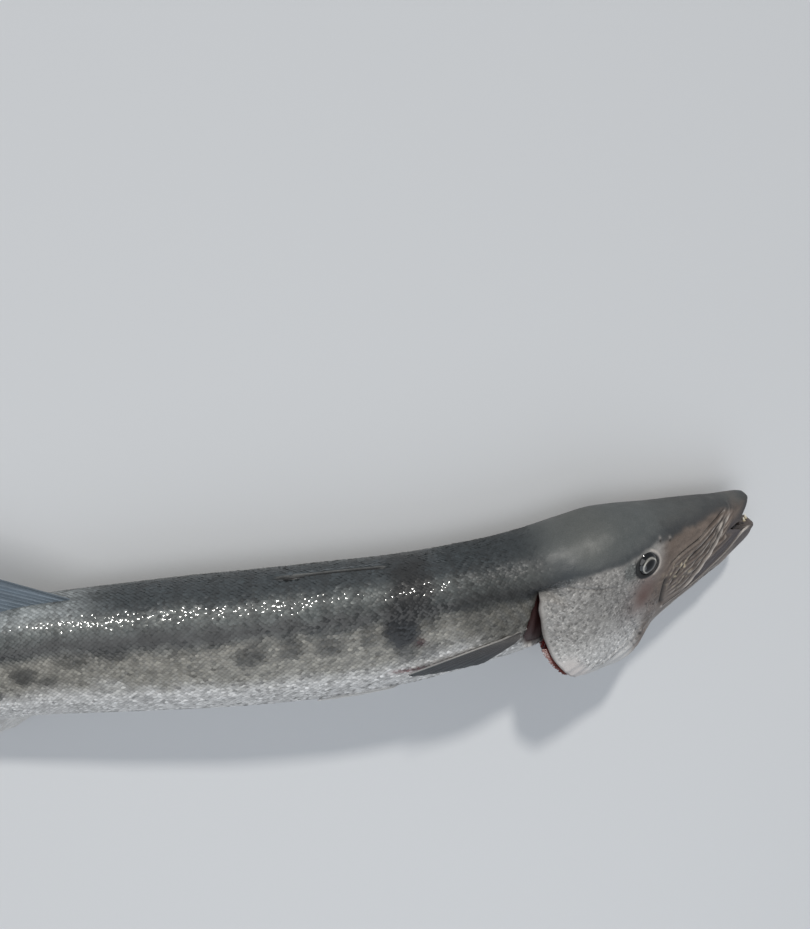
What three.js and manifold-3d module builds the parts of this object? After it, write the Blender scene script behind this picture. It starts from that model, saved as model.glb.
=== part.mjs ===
// Great barracuda, life size, lying on its left flank. Millimetres, +Z up, floor at z = 0.
// The head points to +X, the back to +Y, the belly to -Y and the right flank up.
import * as THREE from 'three';
import { mergeVertices } from 'three/addons/utils/BufferGeometryUtils.js';
import Module from 'manifold-3d';

const wasm = await Module();
wasm.setup();
const { Manifold, Mesh: SolidMesh } = wasm;

// Driving dimensions: s runs along the spine from the tip of the lower jaw to the tail base
const bodyEnd = 971;
const midStation = 459;
const seamGap = 0.3;
const coverThickness = 5.5;
const ringPoints = 32;

// Spine: heading in the floor plane (degrees), height above the floor, roll of the back upward
const headingAt = curve([
  [0, 8], [115, 8], [200, 10], [252, 13], [305, 12], [357, 8], [459, 1], [578, -2],
  [693, -1], [756, 8], [820, 14], [971, 19], [1200, 19],
]);
const heightAt = curve([
  [0, 32], [63, 37], [126, 44], [220, 53], [305, 52], [462, 50], [672, 45], [830, 33.5],
  [971, 23], [1200, 18],
]);
const rollAt = curve([[0, 10], [210, 10], [368, 8], [1200, 8]]);

// Head sections: reach up to the crown, down to the throat, and out to each cheek
const headTop = curve([
  [0, 14], [8, 24], [26, 31], [52, 38], [84, 43], [124, 49], [155, 56], [191, 64],
  [220, 66], [247, 63], [285, 60],
]);
const headBottom = curve([
  [0, 8], [8, 16], [26, 29], [52, 46], [84, 63], [124, 80], [155, 95], [191, 112],
  [212, 117], [247, 104], [285, 84],
]);
const headWidth = curve([
  [0, 8], [8, 14], [26, 19], [52, 26], [84, 33], [124, 40], [155, 45], [191, 50],
  [220, 52], [247, 51.5], [285, 50],
]);

// Body sections
const bodyTop = curve([
  [235, 64.5], [255, 61], [285, 59], [325, 62], [410, 67], [462, 69], [567, 67], [662, 63],
  [700, 61], [761, 57], [824, 48], [882, 40], [929, 33], [971, 31], [990, 31],
]);
const bodyBottom = curve([
  [235, 58], [255, 64], [315, 64], [410, 67], [462, 69], [567, 67], [662, 63], [700, 61],
  [761, 57], [824, 48], [882, 40], [929, 33], [971, 31], [990, 31],
]);
const bodyWidth = curve([
  [235, 51.5], [255, 51], [285, 50], [315, 50.5], [410, 52.5], [462, 52.5], [567, 51.5],
  [662, 47], [700, 45], [761, 40], [824, 31.5], [882, 23], [929, 16], [971, 10], [990, 7],
]);

// Monotone cubic through the given points
function curve(points) {
  const x = points.map((p) => p[0]);
  const y = points.map((p) => p[1]);
  const n = x.length;
  const slope = [];
  for (let i = 0; i < n - 1; i += 1) slope.push((y[i + 1] - y[i]) / (x[i + 1] - x[i]));
  const tangent = [slope[0]];
  for (let i = 1; i < n - 1; i += 1) {
    const a = slope[i - 1];
    const b = slope[i];
    tangent.push(a * b <= 0 ? 0 : (2 * a * b) / (a + b));
  }
  tangent.push(slope[n - 2]);
  return (s) => {
    if (s <= x[0]) return y[0];
    if (s >= x[n - 1]) return y[n - 1];
    let i = 0;
    while (s > x[i + 1]) i += 1;
    const h = x[i + 1] - x[i];
    const t = (s - x[i]) / h;
    const t2 = t * t;
    const t3 = t2 * t;
    return (2 * t3 - 3 * t2 + 1) * y[i] + (t3 - 2 * t2 + t) * h * tangent[i]
      + (3 * t2 - 2 * t3) * y[i + 1] + (t3 - t2) * h * tangent[i + 1];
  };
}

const smooth = (a, b, s) => {
  const t = Math.min(1, Math.max(0, (s - a) / (b - a)));
  return t * t * (3 - 2 * t);
};
const rad = Math.PI / 180;
const mix = (a, b, t) => a + (b - a) * t;

// Spine frames every millimetre, from ahead of the jaw to beyond the tail fin
const frameStart = -40;
const frames = (() => {
  const list = [];
  let x = 0;
  let y = 0;
  for (let s = frameStart; s <= 1200; s += 1) {
    const a = headingAt(s) * rad;
    x -= Math.cos(a);
    y -= Math.sin(a);
    list.push({ centre: new THREE.Vector3(x, y, heightAt(s)), a, roll: rollAt(s) * rad });
  }
  const origin = list[midStation - frameStart].centre.clone();
  list.forEach((f) => f.centre.sub(new THREE.Vector3(origin.x, origin.y, 0)));
  list.forEach((f, i) => {
    const before = list[Math.max(0, i - 1)].centre;
    const after = list[Math.min(list.length - 1, i + 1)].centre;
    f.ahead = before.clone().sub(after).normalize();
    f.back = new THREE.Vector3(-Math.sin(f.a) * Math.cos(f.roll),
      Math.cos(f.a) * Math.cos(f.roll), Math.sin(f.roll));
    f.back.addScaledVector(f.ahead, -f.back.dot(f.ahead)).normalize();
    f.right = f.ahead.clone().cross(f.back);
  });
  return list;
})();

// Point at station s, d toward the back, r toward the right flank
function place(s, d, r) {
  const at = Math.min(frames.length - 1.001, Math.max(0, s - frameStart));
  const i = Math.floor(at);
  const t = at - i;
  const f = frames[i];
  const g = frames[i + 1];
  const p = f.centre.clone().lerp(g.centre, t);
  p.addScaledVector(f.back, d * (1 - t)).addScaledVector(g.back, d * t);
  p.addScaledVector(f.right, r * (1 - t)).addScaledVector(g.right, r * t);
  return p;
}

// Outline of a section, as [d, r] at an angle measured from the right flank toward the back
function oval(top, bottom, right, left, angle, inset = 0) {
  const c = Math.cos(angle);
  const n = Math.sin(angle);
  const power = 2 / (n > 0 ? 2.4 : 2.25);
  const reach = (c > 0 ? right : left) - inset;
  const height = (n > 0 ? top : bottom) - inset;
  return [Math.sign(n) * Math.abs(n) ** power * height, Math.sign(c) * Math.abs(c) ** power * reach];
}

// The right gill cover stands open, its lower rear part the most
function flare(s, angle) {
  const rear = smooth(165, 262, s);
  const low = Math.exp(-(((angle / rad + 38) / 34) ** 2));
  return 23 * rear * low;
}

function headSection(s, angle, inset = 0) {
  const a = angle > Math.PI ? angle - 2 * Math.PI : angle;
  const w = headWidth(s);
  const [d, r] = oval(headTop(s), headBottom(s), w, w, a, inset);
  const out = flare(s, a);
  return [d - out * 0.35, r + out];
}

// Behind the gills the flanks are drawn in under the covers
function bodySection(s, angle, grow = 0) {
  const a = angle > Math.PI ? angle - 2 * Math.PI : angle;
  const w = bodyWidth(s);
  const [d, r] = oval(bodyTop(s), bodyBottom(s), w, w, a, -grow);
  const tuck = 9 * (1 - smooth(248, 285, s)) * (1 - smooth(24, 34, d));
  return [d, r * (1 - tuck / w)];
}

// Closed solid through rings of points, with a point at the middle of each end
function loft(rings) {
  const count = rings[0].length;
  const positions = [];
  rings.forEach((ring) => ring.forEach((p) => positions.push(p.x, p.y, p.z)));
  const middle = (ring) => ring.reduce((m, p) => m.add(p), new THREE.Vector3())
    .multiplyScalar(1 / ring.length);
  const first = middle(rings[0]);
  const last = middle(rings[rings.length - 1]);
  positions.push(first.x, first.y, first.z, last.x, last.y, last.z);
  const a = rings.length * count;
  const index = [];
  for (let i = 0; i < rings.length - 1; i += 1) {
    for (let j = 0; j < count; j += 1) {
      const k = (j + 1) % count;
      const p = i * count + j;
      const q = i * count + k;
      index.push(p, q, p + count, q, q + count, p + count);
    }
  }
  for (let j = 0; j < count; j += 1) {
    const k = (j + 1) % count;
    const end = (rings.length - 1) * count;
    index.push(a, k, j, a + 1, end + j, end + k);
  }
  return solid(positions, index);
}

// Closed solid from points and triangles, turned the right way out
function solid(positions, index) {
  const make = (triangles) => new Manifold(new SolidMesh({
    numProp: 3,
    vertProperties: new Float32Array(positions),
    triVerts: new Uint32Array(triangles),
  }));
  const body = make(index);
  if (body.volume() > 0) return body;
  const turned = [];
  for (let i = 0; i < index.length; i += 3) turned.push(index[i], index[i + 2], index[i + 1]);
  return make(turned);
}

// Rings of a section function between two stations, pressed flat where they meet the floor
function rings(section, stations, floor = 0, points = ringPoints) {
  return stations.map((s) => {
    const ring = [];
    for (let j = 0; j < points; j += 1) {
      const [d, r] = section(s, (j / points) * 2 * Math.PI);
      const p = place(s, d, r);
      p.z = Math.max(p.z, floor);
      ring.push(p);
    }
    return ring;
  });
}

function steps(from, to, count) {
  const list = [];
  for (let i = 0; i <= count; i += 1) list.push(mix(from, to, i / count));
  return list;
}

// Solid from a side-view outline of [s, d] corners, reaching from r = low to r = high
function slab(outline, low, high, spacing = 14) {
  const edge = [];
  outline.forEach(([s, d], i) => {
    const [s2, d2] = outline[(i + 1) % outline.length];
    const parts = Math.max(1, Math.round(Math.hypot(s2 - s, d2 - d) / spacing));
    for (let k = 0; k < parts; k += 1) edge.push([mix(s, s2, k / parts), mix(d, d2, k / parts)]);
  });
  const faces = THREE.ShapeUtils.triangulateShape(edge.map(([s, d]) => new THREE.Vector2(s, d)), []);
  const positions = [];
  [low, high].forEach((r) => edge.forEach(([s, d]) => {
    const p = place(s, d, r);
    positions.push(p.x, p.y, p.z);
  }));
  const n = edge.length;
  const index = [];
  faces.forEach(([a, b, c]) => index.push(a, b, c, a + n, c + n, b + n));
  const lists = (flip) => {
    const side = [];
    for (let i = 0; i < n; i += 1) {
      const j = (i + 1) % n;
      if (flip) side.push(i, j, i + n, j, j + n, i + n);
      else side.push(i, i + n, j, j, i + n, j + n);
    }
    return side;
  };
  const clockwise = THREE.ShapeUtils.area(edge.map(([s, d]) => new THREE.Vector2(s, d))) < 0;
  return solid(positions, index.concat(lists(clockwise)));
}

// Largest closed surface of a solid, as a named piece
const looks = {
  back: 0x4b5654, belly: 0xc9c8bd, cheek: 0x9c9c93, fin: 0x6d7472, gill: 0x5b1612, eye: 0x1b1b1d,
};
const model = new THREE.Group();
model.name = 'barracuda';

function add(name, body, look) {
  const parts = body.decompose();
  parts.sort((a, b) => b.volume() - a.volume());
  const mesh = parts[0].getMesh();
  const geometry = new THREE.BufferGeometry();
  const count = mesh.numProp;
  const values = new Float32Array(mesh.vertProperties.length / count * 3);
  for (let i = 0; i < values.length / 3; i += 1) {
    for (let k = 0; k < 3; k += 1) values[i * 3 + k] = mesh.vertProperties[i * count + k];
  }
  geometry.setAttribute('position', new THREE.BufferAttribute(values, 3));
  geometry.setIndex(new THREE.BufferAttribute(new Uint32Array(mesh.triVerts), 1));
  const merged = mergeVertices(geometry, 1e-5);
  merged.computeVertexNormals();
  const material = new THREE.MeshStandardMaterial({ color: looks[look], roughness: 0.45 });
  const node = new THREE.Mesh(merged, material);
  node.name = name;
  model.add(node);
}

// Head solid and the same form drawn in, for the inner face of the gill covers
const headStations = [0.5, 3, 8, 16, 26, 40, 56, 72, 90, 108, 126, 144, 160, 176, 190, 204, 218,
  232, 246, 258, 270, 280];
const headForm = (grow) => loft(rings((s, a) => headSection(s, a, -grow), headStations, -grow));
const head = headForm(0);
const drawnIn = (inset) => loft(rings((s, a) => headSection(s, a, inset), steps(150, 290, 10), inset));
const headInner = drawnIn(coverThickness);

// Side-view lines of the head
const mouthLine = [[-6, 3], [14, 3], [24, 1], [32, -5], [44, -14], [60, -23], [78, -33], [100, -42],
  [128, -49]];
const jawRear = [[142, -66], [160, -140]];
const gapeAt = curve([[-10, 7], [12, 5.5], [40, 1.2], [70, 0.4], [130, 0.4]]);
const coverFront = [[148, -150], [160, -104], [176, -70], [186, -44], [190, -14], [196, 12], [206, 30]];
const coverRear = [[240, 32], [262, 28], [268, 10], [269, -14], [266, -38], [257, -62], [243, -88],
  [228, -110], [214, -150]];
const shift = (line, s, d) => line.map(([a, b]) => [a + s, b + d]);

// Lower jaw, below the mouth line
const jawOutline = [...mouthLine, ...jawRear, [-20, -140], [-20, 3]];
const jawSpace = [...mouthLine.map(([s, d]) => [s, d + gapeAt(s)]), ...shift(jawRear, seamGap, 0),
  [-30, -140], [-30, 10]];
const jaw = head.intersect(slab(jawOutline, -80, 80));

// Gill covers and throat: a shell behind the cheek
const coverOutline = [...coverFront, ...coverRear];
const coverSpace = [...shift(coverFront, -seamGap, seamGap), [240, 32 + seamGap],
  [300, 32 + seamGap], [300, -160], [148 - seamGap, -160]];
const covers = head.intersect(slab(coverOutline, -90, 100)).subtract(headInner);
const coverRoom = headForm(seamGap)
  .intersect(slab([...shift(coverFront, -seamGap, seamGap), ...shift(coverRear, seamGap, seamGap)],
    -90, 100))
  .subtract(drawnIn(coverThickness + seamGap));
const throatTop = [[130, -70], [176, -84], [210, -92], [240, -86], [275, -66]];
const throatOutline = [...throatTop, [275, -170], [130, -170]];
const throatSlab = slab(throatOutline, -52, 34);
const throatSpace = slab([...shift(throatTop, 0, seamGap), [275.3, -170.3], [129.7, -170.3]],
  -52 - seamGap, 34 + seamGap);
const rightSide = slab([[100, 60], [300, 60], [300, -160], [100, -160]], 0, 120);
const leftSide = slab([[100, 60], [300, 60], [300, -160], [100, -160]], -120, 0);

// Core inside the covers: full ahead, drawn in to the shoulders behind
function coreSection(s, angle) {
  const a = angle > Math.PI ? angle - 2 * Math.PI : angle;
  const [hd, hr] = headSection(s, a, coverThickness + seamGap + 0.4);
  const [bd, br] = bodySection(Math.max(s, 236), a, -3);
  const t = smooth(176, 214, s);
  return [mix(hd, bd, t), mix(hr, br, t)];
}
const napeStation = 246;
const core = loft(rings(coreSection, steps(156, 238, 9), coverThickness + seamGap + 0.4))
  .intersect(drawnIn(coverThickness + seamGap));
const napeCut = slab([[napeStation, 120], [330, 120], [330, -160], [napeStation, -160]], -130, 130);
const upper = head.subtract(slab(jawSpace, -90, 90))
  .subtract(slab([[-30, 90], [9, 90], [11, 24], [7, 2], [-30, -2]], -60, 60))
  .subtract(slab(coverSpace, -100, 110))
  .add(core)
  .subtract(napeCut)
  .subtract(slab(jawSpace, -90, 90));

// Eyes: a flattened ball in a close socket
const eyeStation = 156;
const eyeRadius = 13.5;
function eyeBall(side, grow) {
  const rim = 17;
  const width = headWidth(eyeStation) * (1 - (rim / headTop(eyeStation)) ** 2.4) ** (1 / 2.4);
  const centre = place(eyeStation, rim, side * (width - 5.5));
  const out = place(eyeStation, rim, side * (width + 10)).sub(centre).normalize();
  const ahead = place(eyeStation - 10, rim, side * (width - 5.5)).sub(centre).normalize();
  out.addScaledVector(ahead, 0.17).normalize();
  const up = ahead.clone().cross(out).normalize();
  const along = out.clone().cross(up).normalize();
  const ball = [];
  for (let i = 1; i < 10; i += 1) {
    const p = (i / 10) * Math.PI;
    const ring = [];
    for (let j = 0; j < 24; j += 1) {
      const q = (j / 24) * 2 * Math.PI;
      const radius = (eyeRadius + grow) * Math.sin(p);
      ring.push(centre.clone()
        .addScaledVector(along, radius * Math.cos(q))
        .addScaledVector(up, radius * Math.sin(q))
        .addScaledVector(out, (8.5 + grow) * Math.cos(p)));
    }
    ball.push(ring);
  }
  return loft(ball);
}
const sockets = eyeBall(1, seamGap + 0.2).add(eyeBall(-1, seamGap + 0.2));

// Teeth at the front of the mouth, where the lips part: roots sunk into the jaw
function tooth(s, d, r, height, radius) {
  const foot = place(s, d, r);
  const tip = place(s + 1, d + height, r * 0.9);
  const axis = tip.clone().sub(foot).normalize();
  const along = place(s - 5, d, r).sub(foot).normalize();
  const across = axis.clone().cross(along).normalize();
  const ring = (at, size) => [0, 1, 2, 3, 4, 5].map((k) => foot.clone()
    .addScaledVector(axis, at)
    .addScaledVector(along, size * 1.25 * Math.cos(k * Math.PI / 3))
    .addScaledVector(across, size * Math.sin(k * Math.PI / 3)));
  return loft([ring(0, radius), ring(Math.abs(height) * 0.5, radius * 0.7),
    ring(Math.abs(height), 0.25)]);
}
const upperTeeth = [[13, 5], [21, 8]].flatMap(([s, r]) => [-1, 1].map((side) => (
  tooth(s, gapeAt(s) + 4, side * r, -4.3, 1.5))));
const lowerTeeth = [tooth(4, 0, 0, 8, 1.7), tooth(12, 1, 5, 5, 1.3), tooth(12, 1, -5, 5, 1.3)];

// Gills: a band on the core with a comb of filaments that point back and out of the slit
function gillComb(side, fromAngle, toAngle, count) {
  const at = (s, degrees, out) => {
    const angle = side > 0 ? degrees * rad : Math.PI - degrees * rad;
    const [d, r] = coreSection(s, (angle + 2 * Math.PI) % (2 * Math.PI));
    const size = Math.hypot(d, r);
    return place(s, d + (out * d) / size, r + (out * r) / size);
  };
  const room = (s, degrees) => {
    const angle = (side > 0 ? degrees * rad : Math.PI - degrees * rad) + 2 * Math.PI;
    const [cd, cr] = coreSection(s, angle % (2 * Math.PI));
    const [hd, hr] = headSection(s, angle % (2 * Math.PI), coverThickness);
    return Math.hypot(hd, hr) - Math.hypot(cd, cr);
  };
  const band = fin({
    rays: 6,
    rows: 3,
    thick: 3,
    thin: 3,
    root: (u) => at(214, mix(fromAngle, toAngle, u), 3.2),
    tip: (u) => at(237, mix(fromAngle, toAngle, u), 3.2),
  });
  const pieces = [band];
  [217, 227].forEach((s, row) => {
    for (let k = 0; k < count; k += 1) {
      const degrees = mix(fromAngle, toAngle, (k + 0.5 + 0.2 * row) / (count + 0.4));
      const out = Math.min(12, room(s + 15, degrees) * 0.62);
      const foot = at(s, degrees, 3);
      const tip = at(s + 15, degrees, out);
      const outward = at(s, degrees, 5).sub(at(s, degrees, 0)).normalize();
      const across = tip.clone().sub(foot).cross(outward).normalize();
      const ring = (p, high, wide) => [[1, 1], [-1, 1], [-1, -1], [1, -1]].map(([a, b]) => p.clone()
        .addScaledVector(outward, a * high).addScaledVector(across, b * wide));
      pieces.push(loft([ring(foot, 1.6, 0.8), ring(tip, 0.9, 0.5)]));
    }
  });
  return Manifold.union(pieces).subtract(coverRoom);
}

add('head_upper', Manifold.union([upper.subtract(sockets), ...upperTeeth]), 'back');
add('jaw_lower', Manifold.union([jaw, ...lowerTeeth]), 'cheek');
add('throat', covers.intersect(throatSlab), 'belly');
add('gill_cover_right', covers.intersect(rightSide).subtract(throatSpace), 'cheek');
add('gill_cover_left', covers.intersect(leftSide).subtract(throatSpace), 'cheek');
add('eye_right', eyeBall(1, 0), 'eye');
add('eye_left', eyeBall(-1, 0), 'eye');

// Torso lengths
const bodyRings = (from, to, count, grow = 0) => loft(rings((s, a) => bodySection(s, a, grow),
  steps(from, to, count), -grow));
const foldedFin = { from: 399, to: 521, width: 4.4, depth: 7 };
function groove(grow) {
  const { from, to, width, depth } = foldedFin;
  const line = steps(from - grow, to + grow, 8);
  const outline = [...line.map((s) => [s, bodyTop(s) + 4]),
    ...line.reverse().map((s) => [s, bodyTop(s) - depth - grow])];
  return slab(outline, -width / 2 - grow, width / 2 + grow);
}
add('body_front', bodyRings(napeStation + seamGap, 385, 7).subtract(coverRoom), 'back');
add('body_middle', bodyRings(385 + seamGap, 540, 6).subtract(groove(0)), 'back');
add('body_rear', bodyRings(540 + seamGap, 690, 6), 'back');
add('tail_front', bodyRings(690 + seamGap, 830, 6), 'back');
add('tail_stem', bodyRings(830 + seamGap, bodyEnd, 6), 'back');

// Thin fin: a grid from root to tip, with rays as ridges on both faces
function fin({ root, tip, rays, thick, thin, bow = () => 0, rows = 6 }) {
  const columns = rays * 2;
  const front = [];
  const rear = [];
  for (let i = 0; i <= columns; i += 1) {
    const u = i / columns;
    const a = root(u);
    const b = tip(u);
    const side = root(Math.min(1, u + 0.01)).sub(root(Math.max(0, u - 0.01)));
    const normal = side.cross(b.clone().sub(a)).normalize();
    for (let j = 0; j <= rows; j += 1) {
      const v = j / rows;
      const p = a.clone().lerp(b, v).addScaledVector(normal, bow(u, v));
      const ridge = i % 2 === 1 ? 1 : 0.62;
      const half = mix(thick, thin, v) * ridge / 2;
      front.push(p.clone().addScaledVector(normal, half));
      rear.push(p.clone().addScaledVector(normal, -half));
    }
  }
  const across = rows + 1;
  const n = front.length;
  const positions = [];
  front.concat(rear).forEach((p) => positions.push(p.x, p.y, p.z));
  const index = [];
  for (let i = 0; i < columns; i += 1) {
    for (let j = 0; j < rows; j += 1) {
      const p = i * across + j;
      const q = p + across;
      index.push(p, q, p + 1, q, q + 1, p + 1);
      index.push(p + n, p + 1 + n, q + n, q + n, p + 1 + n, q + 1 + n);
    }
  }
  const edge = (p, q) => index.push(p, q, p + n, q, q + n, p + n);
  for (let j = 0; j < rows; j += 1) {
    edge(j, j + 1);
    const end = columns * across;
    edge(end + j + 1, end + j);
  }
  for (let i = 0; i < columns; i += 1) {
    edge((i + 1) * across, i * across);
    edge(i * across + rows, (i + 1) * across + rows);
  }
  return solid(positions, index);
}

// Fins on the middle line: second dorsal and anal, each rooted 6 mm inside the flesh
function middleFin(side, from, length, height, lean) {
  const reach = (s) => (side > 0 ? bodyTop(s) : -bodyBottom(s));
  const tipShape = curve([[0, 0.9], [0.12, 1], [0.3, 0.72], [0.6, 0.42], [0.88, 0.33], [1, 0.4]]);
  return fin({
    rays: 10,
    thick: 4,
    thin: 1,
    root: (u) => place(from + u * length, reach(from + u * length) - side * 6, 0),
    tip: (u) => {
      const rise = height * tipShape(u);
      return place(from + u * length + rise * lean + 14 * u, reach(from + u * length) + side * rise, 0);
    },
  });
}
const flesh = (from, to) => bodyRings(from, to, 12, seamGap);
add('fin_dorsal_second', middleFin(1, 690, 74, 84, 1.35).subtract(flesh(670, 830)), 'fin');
add('fin_anal', middleFin(-1, 735, 66, 22, 3.1).subtract(flesh(680, 830)), 'fin');
add('fin_dorsal_first', groove(-seamGap).intersect(bodyRings(390, 530, 10, 1.2)), 'fin');

// Tail fin: an upper and a lower lobe that meet on the middle line
const lobe = curve([[0, 54], [0.16, 66], [0.5, 112], [0.8, 150], [1, 152]]);
function tailLobe(side) {
  const from = bodyEnd - 14;
  const edge = side * seamGap / 2;
  return fin({
    rays: 7,
    thick: 8,
    thin: 1,
    rows: 7,
    root: (u) => place(from, edge + side * 29 * u, 0),
    tip: (u) => place(from + lobe(u) + 6, edge + side * 126 * u * (0.5 + 0.5 * u), 0),
  });
}
add('caudal_lobe_upper', tailLobe(1).subtract(flesh(900, bodyEnd)), 'fin');
add('caudal_lobe_lower', tailLobe(-1).subtract(flesh(900, bodyEnd)), 'fin');

// Paired fins: a fan that lies back along the flank
function pairedFin({ side, station, level, length, spread, lift, droop, rays }) {
  const skin = (s, d) => {
    const high = d > 0 ? bodyTop(s) : bodyBottom(s);
    const power = d > 0 ? 2.4 : 2.25;
    return bodyWidth(s) * (1 - Math.min(1, Math.abs(d / high)) ** power) ** (1 / power);
  };
  const tipShape = curve([[0, 1], [0.15, 0.98], [0.5, 0.78], [0.85, 0.5], [1, 0.4]]);
  return fin({
    rays,
    thick: 3.4,
    thin: 1,
    root: (u) => {
      const d = level - u * spread * 0.3;
      return place(station + u * 4, d, side * (skin(station, d) - 3));
    },
    tip: (u) => {
      const s = station + length * tipShape(u);
      const d = level - droop * tipShape(u) - u * spread;
      return place(s, d, side * (skin(s, d) + lift));
    },
  });
}
const frontFlesh = flesh(250, 420);
add('fin_pectoral_right', pairedFin({
  side: 1, station: 281, level: -13, length: 116, spread: 21, lift: 6, droop: 13, rays: 7,
}).subtract(frontFlesh), 'fin');
add('fin_pectoral_left', pairedFin({
  side: -1, station: 284, level: -34, length: 104, spread: 16, lift: 3.5, droop: 20, rays: 7,
}).subtract(frontFlesh), 'fin');
const middleFlesh = flesh(385, 520);
add('fin_pelvic_right', pairedFin({
  side: 1, station: 402, level: -55, length: 84, spread: 6, lift: 6, droop: 1, rays: 4,
}).subtract(middleFlesh), 'fin');
add('fin_pelvic_left', pairedFin({
  side: -1, station: 402, level: -55, length: 84, spread: 6, lift: 5, droop: 1, rays: 4,
}).subtract(middleFlesh), 'fin');

add('gills_right', gillComb(1, 8, -82, 17), 'gill');
add('gills_left', gillComb(-1, -34, -80, 8), 'gill');

export default model;
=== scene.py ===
import math

import bpy
import numpy as np
from mathutils import Matrix, Vector


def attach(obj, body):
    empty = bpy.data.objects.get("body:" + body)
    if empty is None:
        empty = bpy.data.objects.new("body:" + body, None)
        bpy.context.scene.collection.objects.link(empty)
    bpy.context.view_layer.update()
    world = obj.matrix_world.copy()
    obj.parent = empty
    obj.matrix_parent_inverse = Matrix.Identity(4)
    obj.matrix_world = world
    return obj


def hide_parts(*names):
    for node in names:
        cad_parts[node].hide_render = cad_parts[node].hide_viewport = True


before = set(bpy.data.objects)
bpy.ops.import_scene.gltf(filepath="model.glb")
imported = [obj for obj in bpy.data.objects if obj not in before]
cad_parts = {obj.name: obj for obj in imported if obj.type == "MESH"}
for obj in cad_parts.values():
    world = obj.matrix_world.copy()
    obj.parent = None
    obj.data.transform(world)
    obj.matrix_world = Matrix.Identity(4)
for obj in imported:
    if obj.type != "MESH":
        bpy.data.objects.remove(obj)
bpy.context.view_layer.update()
rng = np.random.default_rng(11)

# Driving dimensions in millimetres: s runs along the spine from the tip of the lower jaw
MID_STATION = 459
BODY_END = 971
FRAME_START = -40
COAT = 0.35
AROUND = 360
HEAD_STEP = 1.15
BODY_STEP = 2.7
# Rings of the skin along the head, round the rim of the gill cover, on its lining and to the shoulder
HEAD_RINGS = int(160 / HEAD_STEP)
RIM_RINGS, LINING_RINGS, SHOULDER_RINGS = 6, 14, 30
LINING_DEPTH = 24
HEAD_LAST = 284
SHOULDER_END = 296.0
# Powers of the ovals above and below the spine: 2 would be an ellipse
UPPER_POWER, LOWER_POWER = 2.4, 2.25
SCALE_ROWS = 84
SCALE_PITCH = 5.0
CHEEK_ROWS = 168
CHEEK_PITCH = 3.0
LENS = 31.0
CAMERA_AT = (-0.0572, 0.4270, 0.7339)
CAMERA_FORWARD = (0.1736, -0.3507, -0.9203)
CAMERA_UP = (0.0858, 0.9363, -0.3406)


def curve(*points):
    """Monotone cubic through the given points."""
    x, y = (np.array(v, float) for v in zip(*points))
    slope = np.diff(y) / np.diff(x)
    total = slope[:-1] + slope[1:]
    inner = 2 * slope[:-1] * slope[1:] / np.where(total == 0, 1, total)
    inner = np.where(slope[:-1] * slope[1:] > 0, inner, 0)
    tangent = np.concatenate([[slope[0]], inner, [slope[-1]]])

    def at(s):
        s = np.clip(np.asarray(s, float), x[0], x[-1])
        i = np.clip(np.searchsorted(x, s, side="right") - 1, 0, len(x) - 2)
        h = x[i + 1] - x[i]
        t = (s - x[i]) / h
        low = (2 * t**3 - 3 * t**2 + 1) * y[i] + (t**3 - 2 * t**2 + t) * h * tangent[i]
        return low + (3 * t**2 - 2 * t**3) * y[i + 1] + (t**3 - t**2) * h * tangent[i + 1]

    return at


def smooth(a, b, s):
    """0 at a and 1 at b, with b above or below a."""
    t = np.clip((np.asarray(s, float) - a) / (b - a), 0, 1)
    return t * t * (3 - 2 * t)


def mix(a, b, t):
    return a + (b - a) * t


def bell(x, width):
    return np.exp(-((x / width) ** 2))


def unit(v):
    return v / np.maximum(np.linalg.norm(v, axis=-1, keepdims=True), 1e-9)


# The same spine and sections as the solids
heading_at = curve((0, 8), (115, 8), (200, 10), (252, 13), (305, 12), (357, 8), (459, 1), (578, -2),
                   (693, -1), (756, 8), (820, 14), (971, 19), (1200, 19))
height_at = curve((0, 32), (63, 37), (126, 44), (220, 53), (305, 52), (462, 50), (672, 45), (830, 33.5),
                  (971, 23), (1200, 18))
roll_at = curve((0, 10), (210, 10), (368, 8), (1200, 8))
head_top = curve((0, 14), (8, 24), (26, 31), (52, 38), (84, 43), (124, 49), (155, 56), (191, 64),
                 (220, 66), (247, 63), (285, 60))
head_bottom = curve((0, 8), (8, 16), (26, 29), (52, 46), (84, 63), (124, 80), (155, 95), (191, 112),
                    (212, 117), (247, 104), (285, 84))
head_width = curve((0, 8), (8, 14), (26, 19), (52, 26), (84, 33), (124, 40), (155, 45), (191, 50),
                   (220, 52), (247, 51.5), (285, 50))
body_top = curve((235, 64.5), (255, 61), (285, 59), (325, 62), (410, 67), (462, 69), (567, 67), (662, 63),
                 (700, 61), (761, 57), (824, 48), (882, 40), (929, 33), (971, 31), (990, 31))
body_bottom = curve((235, 58), (255, 64), (315, 64), (410, 67), (462, 69), (567, 67), (662, 63), (700, 61),
                    (761, 57), (824, 48), (882, 40), (929, 33), (971, 31), (990, 31))
body_width = curve((235, 51.5), (255, 51), (285, 50), (315, 50.5), (410, 52.5), (462, 52.5), (567, 51.5),
                   (662, 47), (700, 45), (761, 40), (824, 31.5), (882, 23), (929, 16), (971, 10), (990, 7))
rim_station = curve((-150, 214), (-110, 228), (-88, 243), (-62, 257), (-38, 266), (-14, 269), (10, 268),
                    (28, 262))


def rim_of(d):
    """Station of the rim of the gill cover at a level."""
    return rim_station(np.clip(d, -149, 28))


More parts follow.
